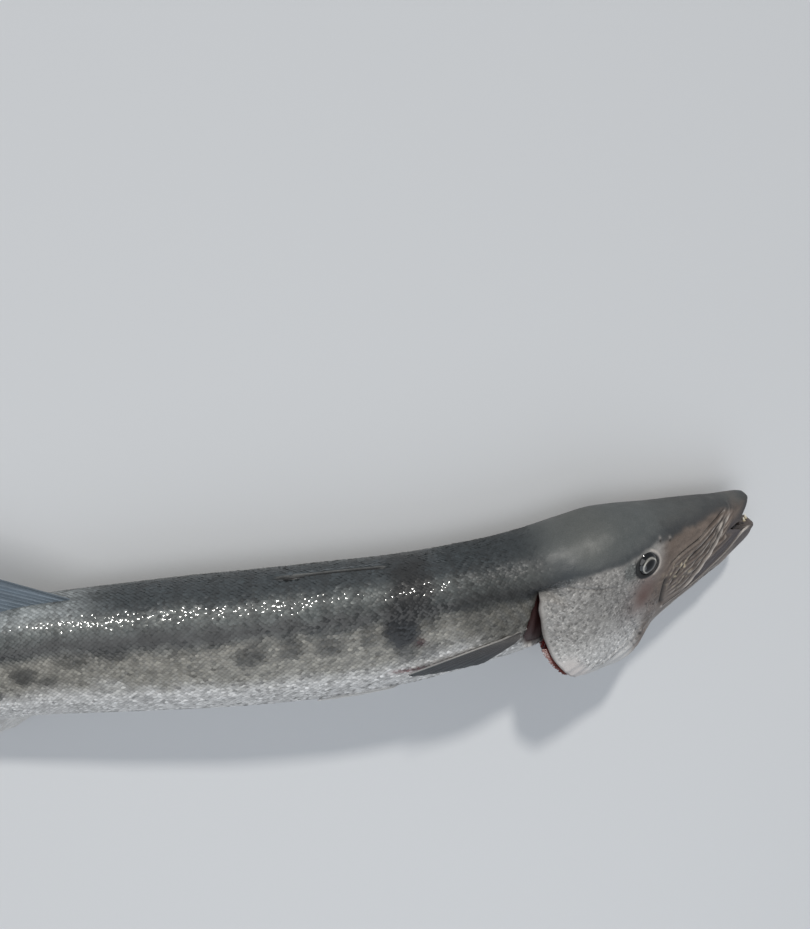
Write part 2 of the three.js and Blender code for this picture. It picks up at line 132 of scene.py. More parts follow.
def spine():
    s = np.arange(FRAME_START, 1201)
    a = np.radians(heading_at(s))
    centre = np.stack([-np.cumsum(np.cos(a)), -np.cumsum(np.sin(a)), height_at(s)], 1)
    centre[:, :2] -= centre[MID_STATION - FRAME_START, :2]
    count = len(s)
    before = centre[np.maximum(np.arange(count) - 1, 0)]
    after = centre[np.minimum(np.arange(count) + 1, count - 1)]
    ahead = unit(before - after)
    roll = np.radians(roll_at(s))
    back = np.stack([-np.sin(a) * np.cos(roll), np.cos(a) * np.cos(roll), np.sin(roll)], 1)
    back = unit(back - ahead * np.sum(back * ahead, 1, keepdims=True))
    return centre, back, np.cross(ahead, back)


CENTRE, BACK, RIGHT = spine()


def place(s, d, r):
    """Points at stations s, d toward the back and r toward the right flank."""
    s, d, r = np.broadcast_arrays(np.asarray(s, float), np.asarray(d, float), np.asarray(r, float))
    at = np.clip(s - FRAME_START, 0, len(CENTRE) - 1.001)
    i = np.floor(at).astype(int)
    t = (at - i)[..., None]
    centre, back, right = (mix(a[i], a[i + 1], t) for a in (CENTRE, BACK, RIGHT))
    return centre + back * d[..., None] + right * r[..., None]


def oval(top, bottom, width, angle, inset):
    c, n = np.cos(angle), np.sin(angle)
    power = np.where(n > 0, 2 / UPPER_POWER, 2 / LOWER_POWER)
    high = np.where(n > 0, top, bottom) - inset
    return np.sign(n) * np.abs(n) ** power * high, np.sign(c) * np.abs(c) ** power * (width - inset)


def flare(s, angle):
    a = (np.degrees(angle) + 180) % 360 - 180
    return 23 * smooth(165, 262, s) * bell(a + 38, 34)


def head_section(s, angle, inset=COAT):
    """Head outline: the lower jaw runs on ahead of the blunt upper snout."""
    snout = 0.1 + 0.9 * np.sqrt(smooth(6.4, 11.5, s))
    d, r = oval(head_top(s) * snout, head_bottom(s), head_width(s), angle, inset)
    out = flare(s, angle)
    return d - out * 0.35, r + out


def body_section(s, angle):
    w = body_width(s)
    d, r = oval(body_top(s), body_bottom(s), w, angle, COAT)
    tuck = 9 * (1 - smooth(248, 285, s)) * (1 - smooth(24, 34, d))
    return d, r * (1 - tuck / w)


def nape_section(s, angle):
    """Where no cover opens, the head runs on into the body."""
    hd, hr = head_section(np.minimum(s, HEAD_LAST), angle)
    bd, br = body_section(np.maximum(s, 236), angle)
    t = smooth(234, 264, s)
    return mix(hd, bd, t), mix(hr, br, t)


def inner_section(s, angle):
    """The body under the gill covers, from the throat back to the shoulders."""
    hd, hr = head_section(s, angle, 8.5)
    bd, br = body_section(np.maximum(s, 236), angle)
    t = smooth(176, 214, s)
    return mix(hd, bd, t), mix(hr, br, t)


# Even spacing round a section, starting at the back and going down the right flank
FINE = np.radians(np.linspace(90, -270, 721))
TABLE_AT = np.arange(-2, 1000, 4.0)
SHARES = np.linspace(0, 1, AROUND + 1)


def angle_table():
    rows = []
    for s in TABLE_AT:
        d, r = nape_section(max(s, 13), FINE)
        run = np.concatenate([[0], np.cumsum(np.hypot(np.diff(d), np.diff(r)))])
        rows.append(np.interp(SHARES, run / run[-1], FINE))
    table = np.array(rows)
    for _ in range(3):
        table[1:-1] = (table[:-2] + 2 * table[1:-1] + table[2:]) / 4
    return table


ANGLES = angle_table()


def angle_at(s, share):
    """Section angle at a share of the way round."""
    s, share = np.broadcast_arrays(np.asarray(s, float), np.asarray(share, float))
    i = np.clip((s - TABLE_AT[0]) / 4, 0, len(TABLE_AT) - 1.001)
    j = np.clip((share % 1) * AROUND, 0, AROUND - 1e-6)
    i0, j0 = np.floor(i).astype(int), np.floor(j).astype(int)
    u, v = i - i0, j - j0
    low = mix(ANGLES[i0, j0], ANGLES[i0, j0 + 1], v)
    return mix(low, mix(ANGLES[i0 + 1, j0], ANGLES[i0 + 1, j0 + 1], v), u)


# Lines of the head in side view, as [s, d], right side; the left side mirrors them
MOUTH = [(7, 3.5), (14, 4), (24, 1), (32, -5), (44, -14), (60, -23), (78, -33), (100, -42), (128, -49)]
CORNER = [(128, -49), (134, -40), (133, -24), (130, -8)]
MAXILLA = [(44, 32), (56, 29), (73, 24), (88, 17), (102, 14), (115, 10), (124, 5), (131, -5)]
MAXILLA_LOW = [(46, 29), (66, 19), (84, 8), (100, 1), (112, -8), (120, -18), (126, -30)]
LIP_FOLDS = [
    [(47, 27), (60, 18), (74, 4), (86, -6), (98, -16), (108, -27), (116, -40)],
    [(44, 28), (58, 14), (70, -1), (82, -14), (94, -26), (104, -36)],
]
LIP_RIDGE = [(38, 27), (52, 20), (62, 6), (72, -8), (82, -20), (94, -32), (108, -42)]
LOWER_RIM = [(34, -20), (54, -35), (76, -46), (92, -55), (120, -66), (138, -74)]
CHEEK_EDGE = [(196, 14), (190, -12), (187, -40), (178, -68), (164, -92)]
PREOPERCLE = [(180, 8), (176, -14), (172, -40), (163, -62), (150, -78)]
COVER_SEAM = [(187, 7), (204, 13), (217, 19), (235, 27), (256, 29)]
EYE_STATION, EYE_LEVEL = 156, 17
NOSTRILS = [(136, 33.5), (124, 30)]


def moved(line, astern, up):
    return [(s + astern, d + up) for s, d in line]


# Creases (below 0) and ridges of the head: line, height and half width
CREASES = [
    (MAXILLA, -3.0, 1.2), (moved(MAXILLA, 0, -3.2), 1.0, 1.7), (MAXILLA_LOW, -1.2, 0.9),
    (LIP_FOLDS[0], -2.2, 1.1), (LIP_FOLDS[1], -1.8, 1.1), (LIP_RIDGE, 1.5, 1.5),
    (moved(LIP_RIDGE, -4, -2.5), -1.0, 1.6), (LOWER_RIM, 0.9, 1.2), (moved(LOWER_RIM, 0, -5), -1.1, 1.4),
    (PREOPERCLE, 0.9, 3.0), (moved(PREOPERCLE, 5, 0), -0.9, 1.6), (CHEEK_EDGE, -0.8, 1.4),
    (COVER_SEAM, -0.7, 1.1),
]


def line_distance(line, s, d):
    """Distance in side view to a broken line, and the share of the way along it."""
    points = np.array(line, float)
    lengths = np.hypot(*np.diff(points, axis=0).T)
    run = np.concatenate([[0], np.cumsum(lengths)]) / lengths.sum()
    best = np.full(np.shape(s), 1e9)
    along = np.zeros(np.shape(s))
    for k in range(len(points) - 1):
        a, b = points[k], points[k + 1]
        v = b - a
        t = np.clip(((s - a[0]) * v[0] + (d - a[1]) * v[1]) / (v @ v), 0, 1)
        gap = np.hypot(s - a[0] - t * v[0], d - a[1] - t * v[1])
        nearer = gap < best
        best = np.where(nearer, gap, best)
        along = np.where(nearer, mix(run[k], run[k + 1], t), along)
    return best, along


def crease(line, s, d, width, fade=0.12):
    """1 on a line and 0 away from it, fading at both ends."""
    gap, along = line_distance(line, s, d)
    return bell(gap, width) * smooth(0, fade, along) * (1 - smooth(1 - fade, 1, along))


def lattice(seed, x, y, z, size):
    """Smooth seeded noise between -1 and 1."""
    values = np.random.default_rng(seed).random(4096) * 2 - 1
    p = [np.asarray(v, float) / size for v in (x, y, z)]
    cell = [np.floor(v).astype(np.int64) for v in p]
    f = [v - c for v, c in zip(p, cell)]
    f = [v * v * (3 - 2 * v) for v in f]
    total = 0.0
    for a in (0, 1):
        for b in (0, 1):
            for c in (0, 1):
                key = (cell[0] + a) * 73856093 ^ (cell[1] + b) * 19349663 ^ (cell[2] + c) * 83492791
                w = (f[0] if a else 1 - f[0]) * (f[1] if b else 1 - f[1]) * (f[2] if c else 1 - f[2])
                total = total + values[key % 4096] * w
    return total


def cloud(seed, s, d, r, size, octaves=3):
    total, weight = 0.0, 0.0
    for k in range(octaves):
        total = total + lattice(seed + k, s, d, r, size / 2**k) / 1.7**k
        weight += 1 / 1.7**k
    return total / weight


def level_of(line, s):
    """Level of a line at a station."""
    return np.interp(s, *zip(*line))


def relief(s, d, r):
    """How far the head's skin stands out (or in, below 0) from the plain section."""
    gap, along = line_distance(MOUTH, s, d)
    wide = mix(2.1, 0.75, smooth(8, 34, s))
    deep = mix(7.5, 2.2, smooth(8, 40, s))
    h = 0.7 * bell(gap - wide * 2.4, 1.6) * (s > 8)
    h -= deep * bell(gap, wide) * (1 - smooth(0.92, 1, along))
    for line, height, width in CREASES:
        h += height * crease(line, s, d, width)
    h -= 2.2 * crease(CORNER, s, d, 2.0, 0.2)
    wave, here = jaw_folds(s, d, r)
    h += 0.3 * wave * here
    for a, b in NOSTRILS:
        q = np.hypot(s - a, (d - b) * 1.1)
        h += -1.5 * bell(q, 1.1) + 0.2 * bell(q - 2.5, 0.8)
    return h


def jaw_folds(s, d, r):
    """Fine wavering folds between the maxilla and the mouth, from -1 to 1, and where they lie."""
    above, _ = line_distance(MAXILLA, s, d)
    below, _ = line_distance(MOUTH, s, d)
    share = above / (above + below + 1e-6)
    wave = np.cos(2 * math.pi * (8 * share + 0.4 * cloud(90, s, d, r, 22, 2)))
    here = smooth(1.5, 4, above) * smooth(1.5, 5, below) * (d < level_of(MAXILLA, s) + 2)
    return wave, here * smooth(30, 46, s) * (1 - smooth(118, 134, s))


def eye_frame(side):
    """Centre and axes of the flattened eyeball: out, astern and up."""
    high = EYE_LEVEL / head_top(EYE_STATION)
    width = head_width(EYE_STATION) * (1 - high**UPPER_POWER) ** (1 / UPPER_POWER)
    level = side * (width - 5.5)
    centre = place(EYE_STATION, EYE_LEVEL, level)
    out = unit(place(EYE_STATION, EYE_LEVEL, side * (width + 10)) - centre)
    ahead = unit(place(EYE_STATION - 10, EYE_LEVEL, level) - centre)
    out = unit(out + ahead * 0.17)
    up = unit(np.cross(ahead, out)) * side
    return centre, out, unit(np.cross(up, out) * side), up


EYES = {1: eye_frame(1), -1: eye_frame(-1)}


def eye_distance(points, side):
    """Distance from the axis of an eye, where it is on that side."""
    centre, out, _, _ = EYES[side]
    v = points - centre
    depth = v @ out
    return np.where(depth > -12, np.linalg.norm(v - depth[..., None] * out, axis=-1), 99.0)


def throat_rays(s, d, r):
    """Branchiostegal rays: ridges that sweep back and down across the throat membranes."""
    low = smooth(0.5, 0.75, -d / head_bottom(s)) * smooth(130, 165, s)
    sweep = np.arctan2(d + 20, np.abs(r) + 30) * 46 + s * 0.1
    return low * 0.75 * np.cos(sweep * 2 * math.pi / 5.6)


# The skin: one grid from the lips over the head, round the rim of the gill covers and on to the tail
def rim_at(share):
    """Station of the rim of the gill cover for each share of the way round."""
    s = np.full(np.shape(share), 250.0)
    for _ in range(40):
        d, _ = head_section(s, angle_at(s, share))
        s = mix(s, rim_of(d), 0.4)
    return s


def skin_rings():
    """Each ring's stations, how far it is under the cover, and its inset; how open the cover is."""
    share = SHARES[:-1]
    tip = np.concatenate([[0.4, 1.2, 2.2, 3.4, 4.6, 5.8], np.arange(6.6, 12, 0.55)])
    upper = np.concatenate([tip, np.arange(12.4, 100, 1.0)])
    lower = np.linspace(0, 1, len(upper)) ** 1.05 * 99.6 + 0.4
    below = smooth(math.sin(math.radians(8)), math.sin(math.radians(-30)), np.sin(angle_at(60.0, share)))
    rim = rim_at(share)
    top_d, _ = head_section(rim, angle_at(rim, share))
    opening = 1 - smooth(20, 29, top_d)
    closed = 1 - opening
    rings = []

    def add(s, under=0.0, inset=COAT):
        rings.append(np.broadcast_arrays(s, under, inset, share)[:3])

    for a, b in zip(upper, lower):
        add(mix(a, b, below))
    start = rings[-1][0]
    for k in range(1, HEAD_RINGS + 1):
        add(mix(start, rim - 1.2 * opening, k / HEAD_RINGS))
    folds = len(rings)
    for k in range(1, RIM_RINGS + 1):
        turn = math.pi * k / (RIM_RINGS + 1)
        round_rim = opening * (1.3 * math.sin(turn) - 1.2)
        add(rim + round_rim + closed * 0.12 * k, 0.0, COAT + opening * 1.2 * (1 - math.cos(turn)))
    for k in range(1, LINING_RINGS + 1):
        t = k / LINING_RINGS
        inward = opening * (1.2 + LINING_DEPTH * t)
        add(rim - inward + closed * (0.72 + 1.68 * t), opening * smooth(0.55, 1.0, t),
            COAT + opening * (2.4 + 4 * smooth(0, 0.4, t)))
    start = rim - opening * (1.2 + LINING_DEPTH) + closed * 2.4
    for k in range(1, SHOULDER_RINGS + 1):
        add(mix(start, SHOULDER_END, k / SHOULDER_RINGS), opening)
    s = SHOULDER_END
    while s < BODY_END:
        s += mix(1.8, BODY_STEP, smooth(296, 330, s))
        add(min(s, BODY_END), 1.0)
    return np.moveaxis(np.array(rings), 1, 0), opening, folds


def skin_surface():
    (s, under, inset), opening, folds = skin_rings()
    ring = np.arange(len(s))[:, None] + np.zeros_like(s)
    angle = angle_at(s, SHARES[:-1])
    head = np.array(head_section(np.minimum(s, HEAD_LAST), angle, inset))
    nape = np.array(nape_section(s, angle))
    inner = np.array(inner_section(s, angle))
    cover = mix(nape, head, opening)
    past = ring >= folds + RIM_RINGS
    section = np.where((s < 225) & ~past, head, cover)
    section = np.where(past, mix(cover, inner, under), section)
    late = (ring >= folds + RIM_RINGS + LINING_RINGS) & (s < SHOULDER_END + 4)
    section = np.where(late, mix(nape, inner, opening), section)
    section = np.where(s >= SHOULDER_END, np.array(body_section(s, angle)), section)
    return s, *section, angle, np.broadcast_to(opening, s.shape), ring, folds


def grid_normals(points):
    """Outward normals of a grid of rings."""
    along = np.gradient(points, axis=0)
    around = np.roll(points, -1, axis=1) - np.roll(points, 1, axis=1)
    return unit(np.cross(along, around))


SKIN_S, SKIN_D, SKIN_R, SKIN_ANGLE, SKIN_OPEN, SKIN_RING, FOLDS = skin_surface()
BODY_RING = FOLDS + RIM_RINGS + LINING_RINGS


def snout_shift(s, d, angle):
    """The upper snout comes to a point over a foot set back, and the lower jaw hangs a little."""
    upper = smooth(5.5, 8.5, s) * smooth(0.0, 0.12, np.sin(angle))
    high = np.clip(d / 24, 0, 1)
    back = upper * (1 - smooth(14, 62, s)) * (2.5 + 22.0 * (1 - high))
    raised = upper * (1 - smooth(9, 54, s)) * 7.5 * high**2
    lower = np.maximum(smooth(0.05, -0.3, np.sin(angle)), 1 - smooth(5.8, 8.5, s))
    hang = lower * (1 - smooth(4, 36, s))
    return back + 3.0 * hang, raised - 5.0 * hang


def nape_dip(s, angle):
    """The nape runs straight from the crown to the back."""
    return -8.0 * bell(s - 224, 41) * smooth(0.3, 0.85, np.sin(angle))


def jaw_drop(s, angle):
    """The slack floor of the mouth hangs below the jaw bones."""
    return -(6.0 * bell(s - 38, 27) + 4.5 * bell(s - 108, 42)) * smooth(-0.15, -0.75, np.sin(angle))


def shape_skin():
    s, d, r, angle = SKIN_S, SKIN_D, SKIN_R, SKIN_ANGLE
    back, raised = snout_shift(s, d, angle)
    raised = raised + nape_dip(s, angle) + jaw_drop(s, angle)
    points = place(s + back, d + raised, r)
    normal = grid_normals(points)
    head = relief(s, d, r) + throat_rays(s, d, r)
    for side in (1, -1):
        rho = eye_distance(points, side)
        socket = 0.5 * bell(rho - 12.6, 1.5) - 0.8 * bell(rho - 15.8, 1.6)
        socket -= 5.5 * (1 - smooth(9.6, 11.2, rho))
        head += np.where((r * side > 0) & (rho < 22), socket, 0)
    head += 0.16 * cloud(3, s, d, r, 5.0, 2) + throat_swell(s, angle)
    h = np.where((SKIN_RING < FOLDS) & (s < 268), head, shoulder_folds(s, d, r))
    behind = dorsal_slit(s, d, r) - 4.5 * hollow(s, d, r) * SKIN_OPEN
    h += np.where(SKIN_RING >= BODY_RING, behind, 0)
    points = points + normal * h[..., None]
    points[..., 2] = np.maximum(points[..., 2], 0)
    return points


def throat_swell(s, angle):
    """The slack throat hangs a little lower on the right."""
    a = (np.degrees(angle) + 180) % 360 - 180
    return 8.5 * bell(s - 172, 36) * bell(a + 66, 32) + 10 * bell(s - 175, 31) * bell(a + 72, 30)


def dorsal_slit(s, d, r):
    """The groove that the first dorsal fin folds into, with soft lips."""
    along = smooth(400, 412, s) * (1 - smooth(508, 522, s)) * (d > 40)
    wide = mix(1.5, 3.0, bell(s - 498, 12))
    return along * (-4.2 * bell(r - 0.4, wide) + 0.5 * bell(np.abs(r) - wide - 2.2, 1.4))


def shoulder_folds(s, d, r):
    """Slack skin behind the gill opening on the right shoulder."""
    here = smooth(262, 276, s) * (1 - smooth(300, 345, s)) * (r > 0)
    wave = np.cos((s - 262 - 0.45 * np.abs(d - 2)) * 2 * math.pi / 15)
    return here * 0.9 * wave * bell(d, 34)


def hollow(s, d, r):
    """The three-cornered pit behind the rim of the right gill cover."""
    wide = 19 * smooth(26, -24, d) * (1 - smooth(-34, -60, d)) + 1
    return (1 - smooth(wide - 5, wide, s - rim_of(d))) * (r > 0) * smooth(28, 22, d)


# Colours, as display values from 0 to 1 that are turned to linear ones
def linear(rgb):
    c = np.asarray(rgb, float)
    return np.where(c <= 0.04045, c / 12.92, ((c + 0.055) / 1.055) ** 2.4)


OLIVE_TOP = (0.245, 0.265, 0.268)
DARK_BACK = (0.155, 0.18, 0.195)
DARK_FLANK = (0.265, 0.285, 0.285)
DARK_BELT = (0.185, 0.19, 0.19)
BEIGE_FLANK = (0.50, 0.49, 0.46)
PALE_BELLY = (0.79, 0.785, 0.775)
BLOTCH = (0.065, 0.07, 0.075)
SILVER_CHEEK = (0.555, 0.545, 0.53)
ROSY_CHEEK = (0.37, 0.285, 0.26)
JAW_BROWN = (0.355, 0.30, 0.262)
LIP_GREY = (0.285, 0.27, 0.278)
LIP_PALE = (0.74, 0.71, 0.68)
# Painted shade for the creases, seams, mouth line and nostril pits of the head
CREASE_SHADE = (0.07, 0.052, 0.048)
# Gill red, deepened by painted shade inside the gill openings
GILL_RED_SHADED = (0.17, 0.03, 0.027)
MEMBRANE = (0.76, 0.735, 0.72)
# Painted gold glints on the jaw
GOLD_GLINT = (0.78, 0.73, 0.63)
FIN_PALE = (0.50, 0.54, 0.57)
FIN_DARK = (0.20, 0.225, 0.24)
FIN_MID = (0.34, 0.375, 0.40)
FIN_BROWN = (0.19, 0.172, 0.168)
FIN_TAN = (0.25, 0.235, 0.23)
FIN_BLUE = (0.40, 0.445, 0.485)
FIN_BLUE_PALE = (0.47, 0.52, 0.56)
# Folded first dorsal fin: its dark colour deepened by painted shade of the groove, near black where the
# groove widens
FOLDED_FIN_SHADED = (0.05, 0.055, 0.06)
GROOVE_OPENING_SHADE = (0.02, 0.02, 0.02)
SHEEN = (0.60, 0.62, 0.625)
SLIT_SHADE = (0.03, 0.033, 0.036)
WOUND = (0.17, 0.03, 0.03)
BLOOD = (0.38, 0.09, 0.09)
# Painted sheen on the brow
BROW = (0.40, 0.39, 0.35)
RIM_BROWN = (0.20, 0.15, 0.14)
SOCKET_SHADE = (0.035, 0.035, 0.04)
SOCKET_PATCH = (0.40, 0.41, 0.40)
EYE_GREY = (0.10, 0.10, 0.11)
EYE_RIM = (0.03, 0.03, 0.033)
IRIS_BROWN = (0.22, 0.18, 0.15)
IRIS_SILVER = (0.83, 0.82, 0.78)
PUPIL = (0.012, 0.012, 0.014)
GILL_ROOT_SHADED, GILL_BRIGHT = (0.26, 0.03, 0.03), (0.40, 0.10, 0.085)
FRILL_DARK, FRILL_PALE = (0.34, 0.11, 0.10), (0.50, 0.30, 0.27)
TOOTH_ROOT, TOOTH_TIP = (0.72, 0.66, 0.52), (0.93, 0.92, 0.88)

BLOTCHES = [  # station, level, half length, half height, strength
    (400, 32, 21, 32, 1.0), (383, 55, 27, 18, 1.0), (398, 8, 15, 18, 0.7), (377, -2, 14, 11, 0.5),
    (431, 26, 10, 13, 0.55), (372, 36, 15, 16, 0.6), (469, 22, 17, 11, 0.6), (505, 25, 15, 11, 0.6),
    (541, 20, 17, 12, 0.7),
    (567, 40, 12, 8, 0.45), (600, 30, 12, 7, 0.35), (627, 42, 14, 9, 0.6), (658, 32, 15, 9, 0.65),
    (691, 29, 14, 9, 0.6), (716, 6, 10, 8, 0.55), (734, 15, 14, 10, 0.7), (352, 30, 13, 9, 0.35),
    (330, 22, 10, 14, 0.35), (772, -6, 13, 9, 0.7), (806, 10, 11, 8, 0.6), (838, -8, 12, 7, 0.7),
    (790, -26, 9, 6, 0.6), (872, 4, 10, 7, 0.55), (905, -6, 9, 6, 0.5), (640, -22, 8, 5, 0.3),
]


def layers(colour, *pairs):
    """Colours laid over one another, each as a display colour and its strength."""
    for over, amount in pairs:
        colour = mix(colour, linear(over), np.clip(amount, 0, 1)[..., None])
    return colour


def body_colour(s, d, r, angle):
    """Colour of the trunk: dark back, silver flank with bars and blotches, pale belly."""
    level = np.degrees(np.arcsin(np.clip(np.sin(angle), -1, 1)))
    level = level + 8 * cloud(20, s, d, r, 60, 3) + 6.0 * cloud(24, s * 0.8, d, r, 12, 3)
    level = level + 10 * (1 - smooth(290, 345, s))
    colour = layers(
        linear(PALE_BELLY),
        (BEIGE_FLANK, smooth(-17, 4, level)),
        (DARK_FLANK, 0.95 * smooth(20, 35, level)),
        (DARK_BELT, 0.97 * bell(level - 36, 9)),
        (DARK_BACK, 0.9 * smooth(54, 76, level)),
        (SHEEN, 0.9 * bell(level - 80, 16) * smooth(650, 730, s)))
    # Painted shade on the flank behind the head, fading on the belly and weaker on the back
    shoulder = (1 - smooth(300, 370, s)) * smooth(-30, 0, level) * (1 - 0.6 * smooth(60, 85, level))
    colour = colour * (1 - 0.5 * shoulder)[..., None]
    bars = np.maximum(0, np.cos((s + 6 * lattice(31, s, d, r, 45) - 300) * 2 * math.pi / 34)) ** 3
    ragged = 0.35 * cloud(40, s, d, r, 11, 3)
    lift = np.minimum(1, body_top(s) / 66)
    spots = np.zeros(np.shape(s))
    for a, b, long, high, strength in BLOTCHES:
        q = np.hypot((s - a) / long, (d - b * lift) / high)
        spots = np.maximum(spots, strength * (1 - smooth(0.55, 1.25, q + ragged)))
    right = r > 0
    slit = smooth(404, 412, s) * (1 - smooth(510, 521, s)) * (d > 40)
    blood = bell(d + 22 - 0.1 * (s - 395), 2.6) * smooth(374, 384, s) * (1 - smooth(404, 420, s))
    return layers(
        colour,
        (BLOTCH, 0.30 * bars * smooth(4, 22, level) * smooth(290, 340, s)),
        (BLOTCH, spots * np.where(right, 1.0, 0.75)),
        (FIN_PALE, 0.22 * slit * bell(r + 4.4, 0.9)),
        # Painted shade in the groove of the first dorsal fin
        (SLIT_SHADE, 0.96 * slit * bell(r - 0.2, mix(2.7, 4.0, bell(s - 498, 12)))),
        (WOUND, 1.2 * bell(np.hypot(s - 384, d - 11), 4.8) * right),
        (BLOOD, 0.85 * blood * right))


DORSAL_EDGE = curve((0, 4), (20, 14), (36, 24), (54, 31), (90, 31), (112, 30), (140, 31), (158, 28),
                    (175, 27), (190, 27), (206, 29), (242, 35), (266, 33), (300, 33))


def rosy_patch(s, d):
    """The bare reddish patch below the eye."""
    return bell(s - 160, 20) * bell(d + 18 + 0.35 * (s - 160), 23)


def head_colour(s, d, r, points):
    """Colour of the head: olive crown, silver speckled cheek, brown jaws with pale lips."""
    broad = cloud(54, s, d, r, 30, 3)
    chin = -d / head_bottom(s)
    low = smooth(0.12, 0.62, chin)
    colour = layers(linear(SILVER_CHEEK), (PALE_BELLY, 0.8 * low))
    colour = colour * (1 + 0.34 * cloud(50, s, d, r, 4.2, 2) * (1 - low) + 0.20 * broad)[..., None]
    jaws = (1 - smooth(132, 156, s + 0.35 * d)) * (1 - 0.5 * smooth(0.8, 1.0, chin))
    rosy = 1.1 * rosy_patch(s, d) * (0.85 + 0.35 * broad)
    colour = layers(colour, (ROSY_CHEEK, rosy), (JAW_BROWN, 0.85 * jaws))
    colour = colour * (1 + 0.42 * jaws * cloud(58, s * 0.6, d * 1.4, r, 6, 3))[..., None]
    wave, here = jaw_folds(s, d, r)
    past = s - rim_of(d)
    return layers(
        colour,
        # Painted shade in the troughs of the jaw folds, painted highlight on their crests
        (CREASE_SHADE, 0.5 * here * smooth(0.3, -0.8, wave) * (0.7 + 0.6 * broad)),
        (LIP_PALE, 0.28 * here * smooth(0.5, 1.0, wave) * (0.5 + lattice(61, s, d, r, 7))),
        *crown_layers(s, d, r),
        *lip_layers(s, d, r),
        *socket_layers(r, points),
        (MEMBRANE, 0.85 * smooth(-25, -9, past + 5 * broad) * smooth(-38, -60, d)),
        (RIM_BROWN, 0.55 * smooth(-3.2, -0.6, past) * (1 - smooth(20, 30, d))))


def crown_layers(s, d, r):
    """The plain crown with a faint painted sheen on the brow, dark along the cheek and at the nape, and the
    grey tips of the jaws.
    """
    above = d - DORSAL_EDGE(s) - 4.5 * cloud(60, s, d, r, 13, 3)
    tip = s + 0.4 * d
    crown = smooth(-3.5, 3.5, above) * smooth(30, 62, s + 0.5 * d)
    top = smooth(3, 13, above) * smooth(8, 30, tip) * (1 - 0.5 * bell(above - 6, 8))
    snout = smooth(20, 29, d) * (1 - smooth(10, 34, tip)) * smooth(4, 9, s)
    return [
        (DARK_BACK, 0.85 * crown * bell(above - 6, 11)),
        (DARK_BACK, 0.9 * crown * smooth(200, 240, s) * (1 - smooth(46, 58, d))),
        (OLIVE_TOP, 0.92 * np.maximum(top, snout)),
        # A faint painted sheen on the brow
        (BROW, 0.16 * bell(s - 205, 26) * bell(d - 58, 12)),
        (DARK_BACK, 0.85 * smooth(208, 236, s) * smooth(24, 33, d) * (1 - smooth(50, 60, d))),
        (LIP_GREY, 0.6 * (1 - smooth(20, 46, s)) * (1 - smooth(9, 15, d))),
        (DARK_BACK, 0.75 * (1 - smooth(9, 30, s)) * smooth(7, 14, d)),
    ]


def lip_layers(s, d, r):
    """Pale lips, painted highlights along the folds, painted shade in the creases round the mouth and cheek
    and in the nostrils, and painted glints by the nostrils and on the jaw.
    """
    gap = np.where(s > 6.5, line_distance(MOUTH, s, d)[0], 99)
    above = smooth(0, 1.5, d - level_of(MOUTH, s))
    plane = (1 - smooth(6, 17, gap)) * smooth(14, 26, s) * (1 - smooth(84, 110, s))
    rag = 0.6 + 0.6 * lattice(63, s, d, r, 2.6)
    under = smooth(0.78, 0.90, -d / head_bottom(s)) * smooth(34, 50, s) * (1 - smooth(130, 152, s))
    patchy = np.clip(0.62 + 0.9 * lattice(64, s, d, r, 5.0), 0, 1)
    glint = smooth(0.35, 0.6, lattice(66, s, d, r, 2.6)) * bell(s - 115, 14) * bell(d + 10, 17)
    pairs = [
        (LIP_GREY, 0.9 * plane * above),
        (LIP_PALE, 0.9 * bell(gap - 2.6, 1.2) * (1 - above) * smooth(9, 20, s)),
        (LIP_PALE, 0.85 * crease(LIP_RIDGE, s, d, 1.3)),
        (LIP_PALE, 0.85 * rag * crease(LOWER_RIM, s, d, 1.5)),
        (LIP_PALE, 0.75 * rag * under),
    ]
    # Each fold: a painted highlight along its upper lip, painted shade in the crease
    for fold in LIP_FOLDS + [MAXILLA_LOW]:
        pairs.append((LIP_PALE, 0.65 * patchy * crease(moved(fold, 1.8, 1.6), s, d, 0.9)))
        pairs.append((CREASE_SHADE, 0.95 * crease(fold, s, d, 1.3)))
    pairs += [
        # Painted gold glints on the jaw
        (GOLD_GLINT, 0.9 * glint),
        # Painted shade along the maxilla, the corner and line of the mouth, the cover seam, cheek edge and
        # preopercle
        (CREASE_SHADE, 0.92 * crease(MAXILLA, s, d, 1.0)),
        (CREASE_SHADE, 0.9 * crease(CORNER, s, d, 3.4, 0.2)),
        (CREASE_SHADE, 0.92 * bell(gap, mix(3.0, 1.2, smooth(9, 26, s)))),
        (CREASE_SHADE, 0.5 * crease(COVER_SEAM, s, d, 1.1)),
        (CREASE_SHADE, 0.3 * crease(CHEEK_EDGE, s, d, 1.3)),
        (CREASE_SHADE, 0.22 * crease(moved(PREOPERCLE, 5, 0), s, d, 1.8)),
    ]
    # Each nostril: a pit in painted shade, with a painted glint just above it
    for a, b in NOSTRILS:
        pairs.append((CREASE_SHADE, 0.9 * bell(np.hypot(s - a, (d - b) * 1.1), 1.6)))
        pairs.append((LIP_PALE, 0.3 * bell(np.hypot(s - a, d - b - 2.6), 1.6)))
    crown_mark = np.sqrt((s - 126) ** 2 + (d - 47) ** 2 + (r - 24) ** 2)
    return pairs + [(CREASE_SHADE, 0.6 * bell(crown_mark, 4.0) * (r > 0))]


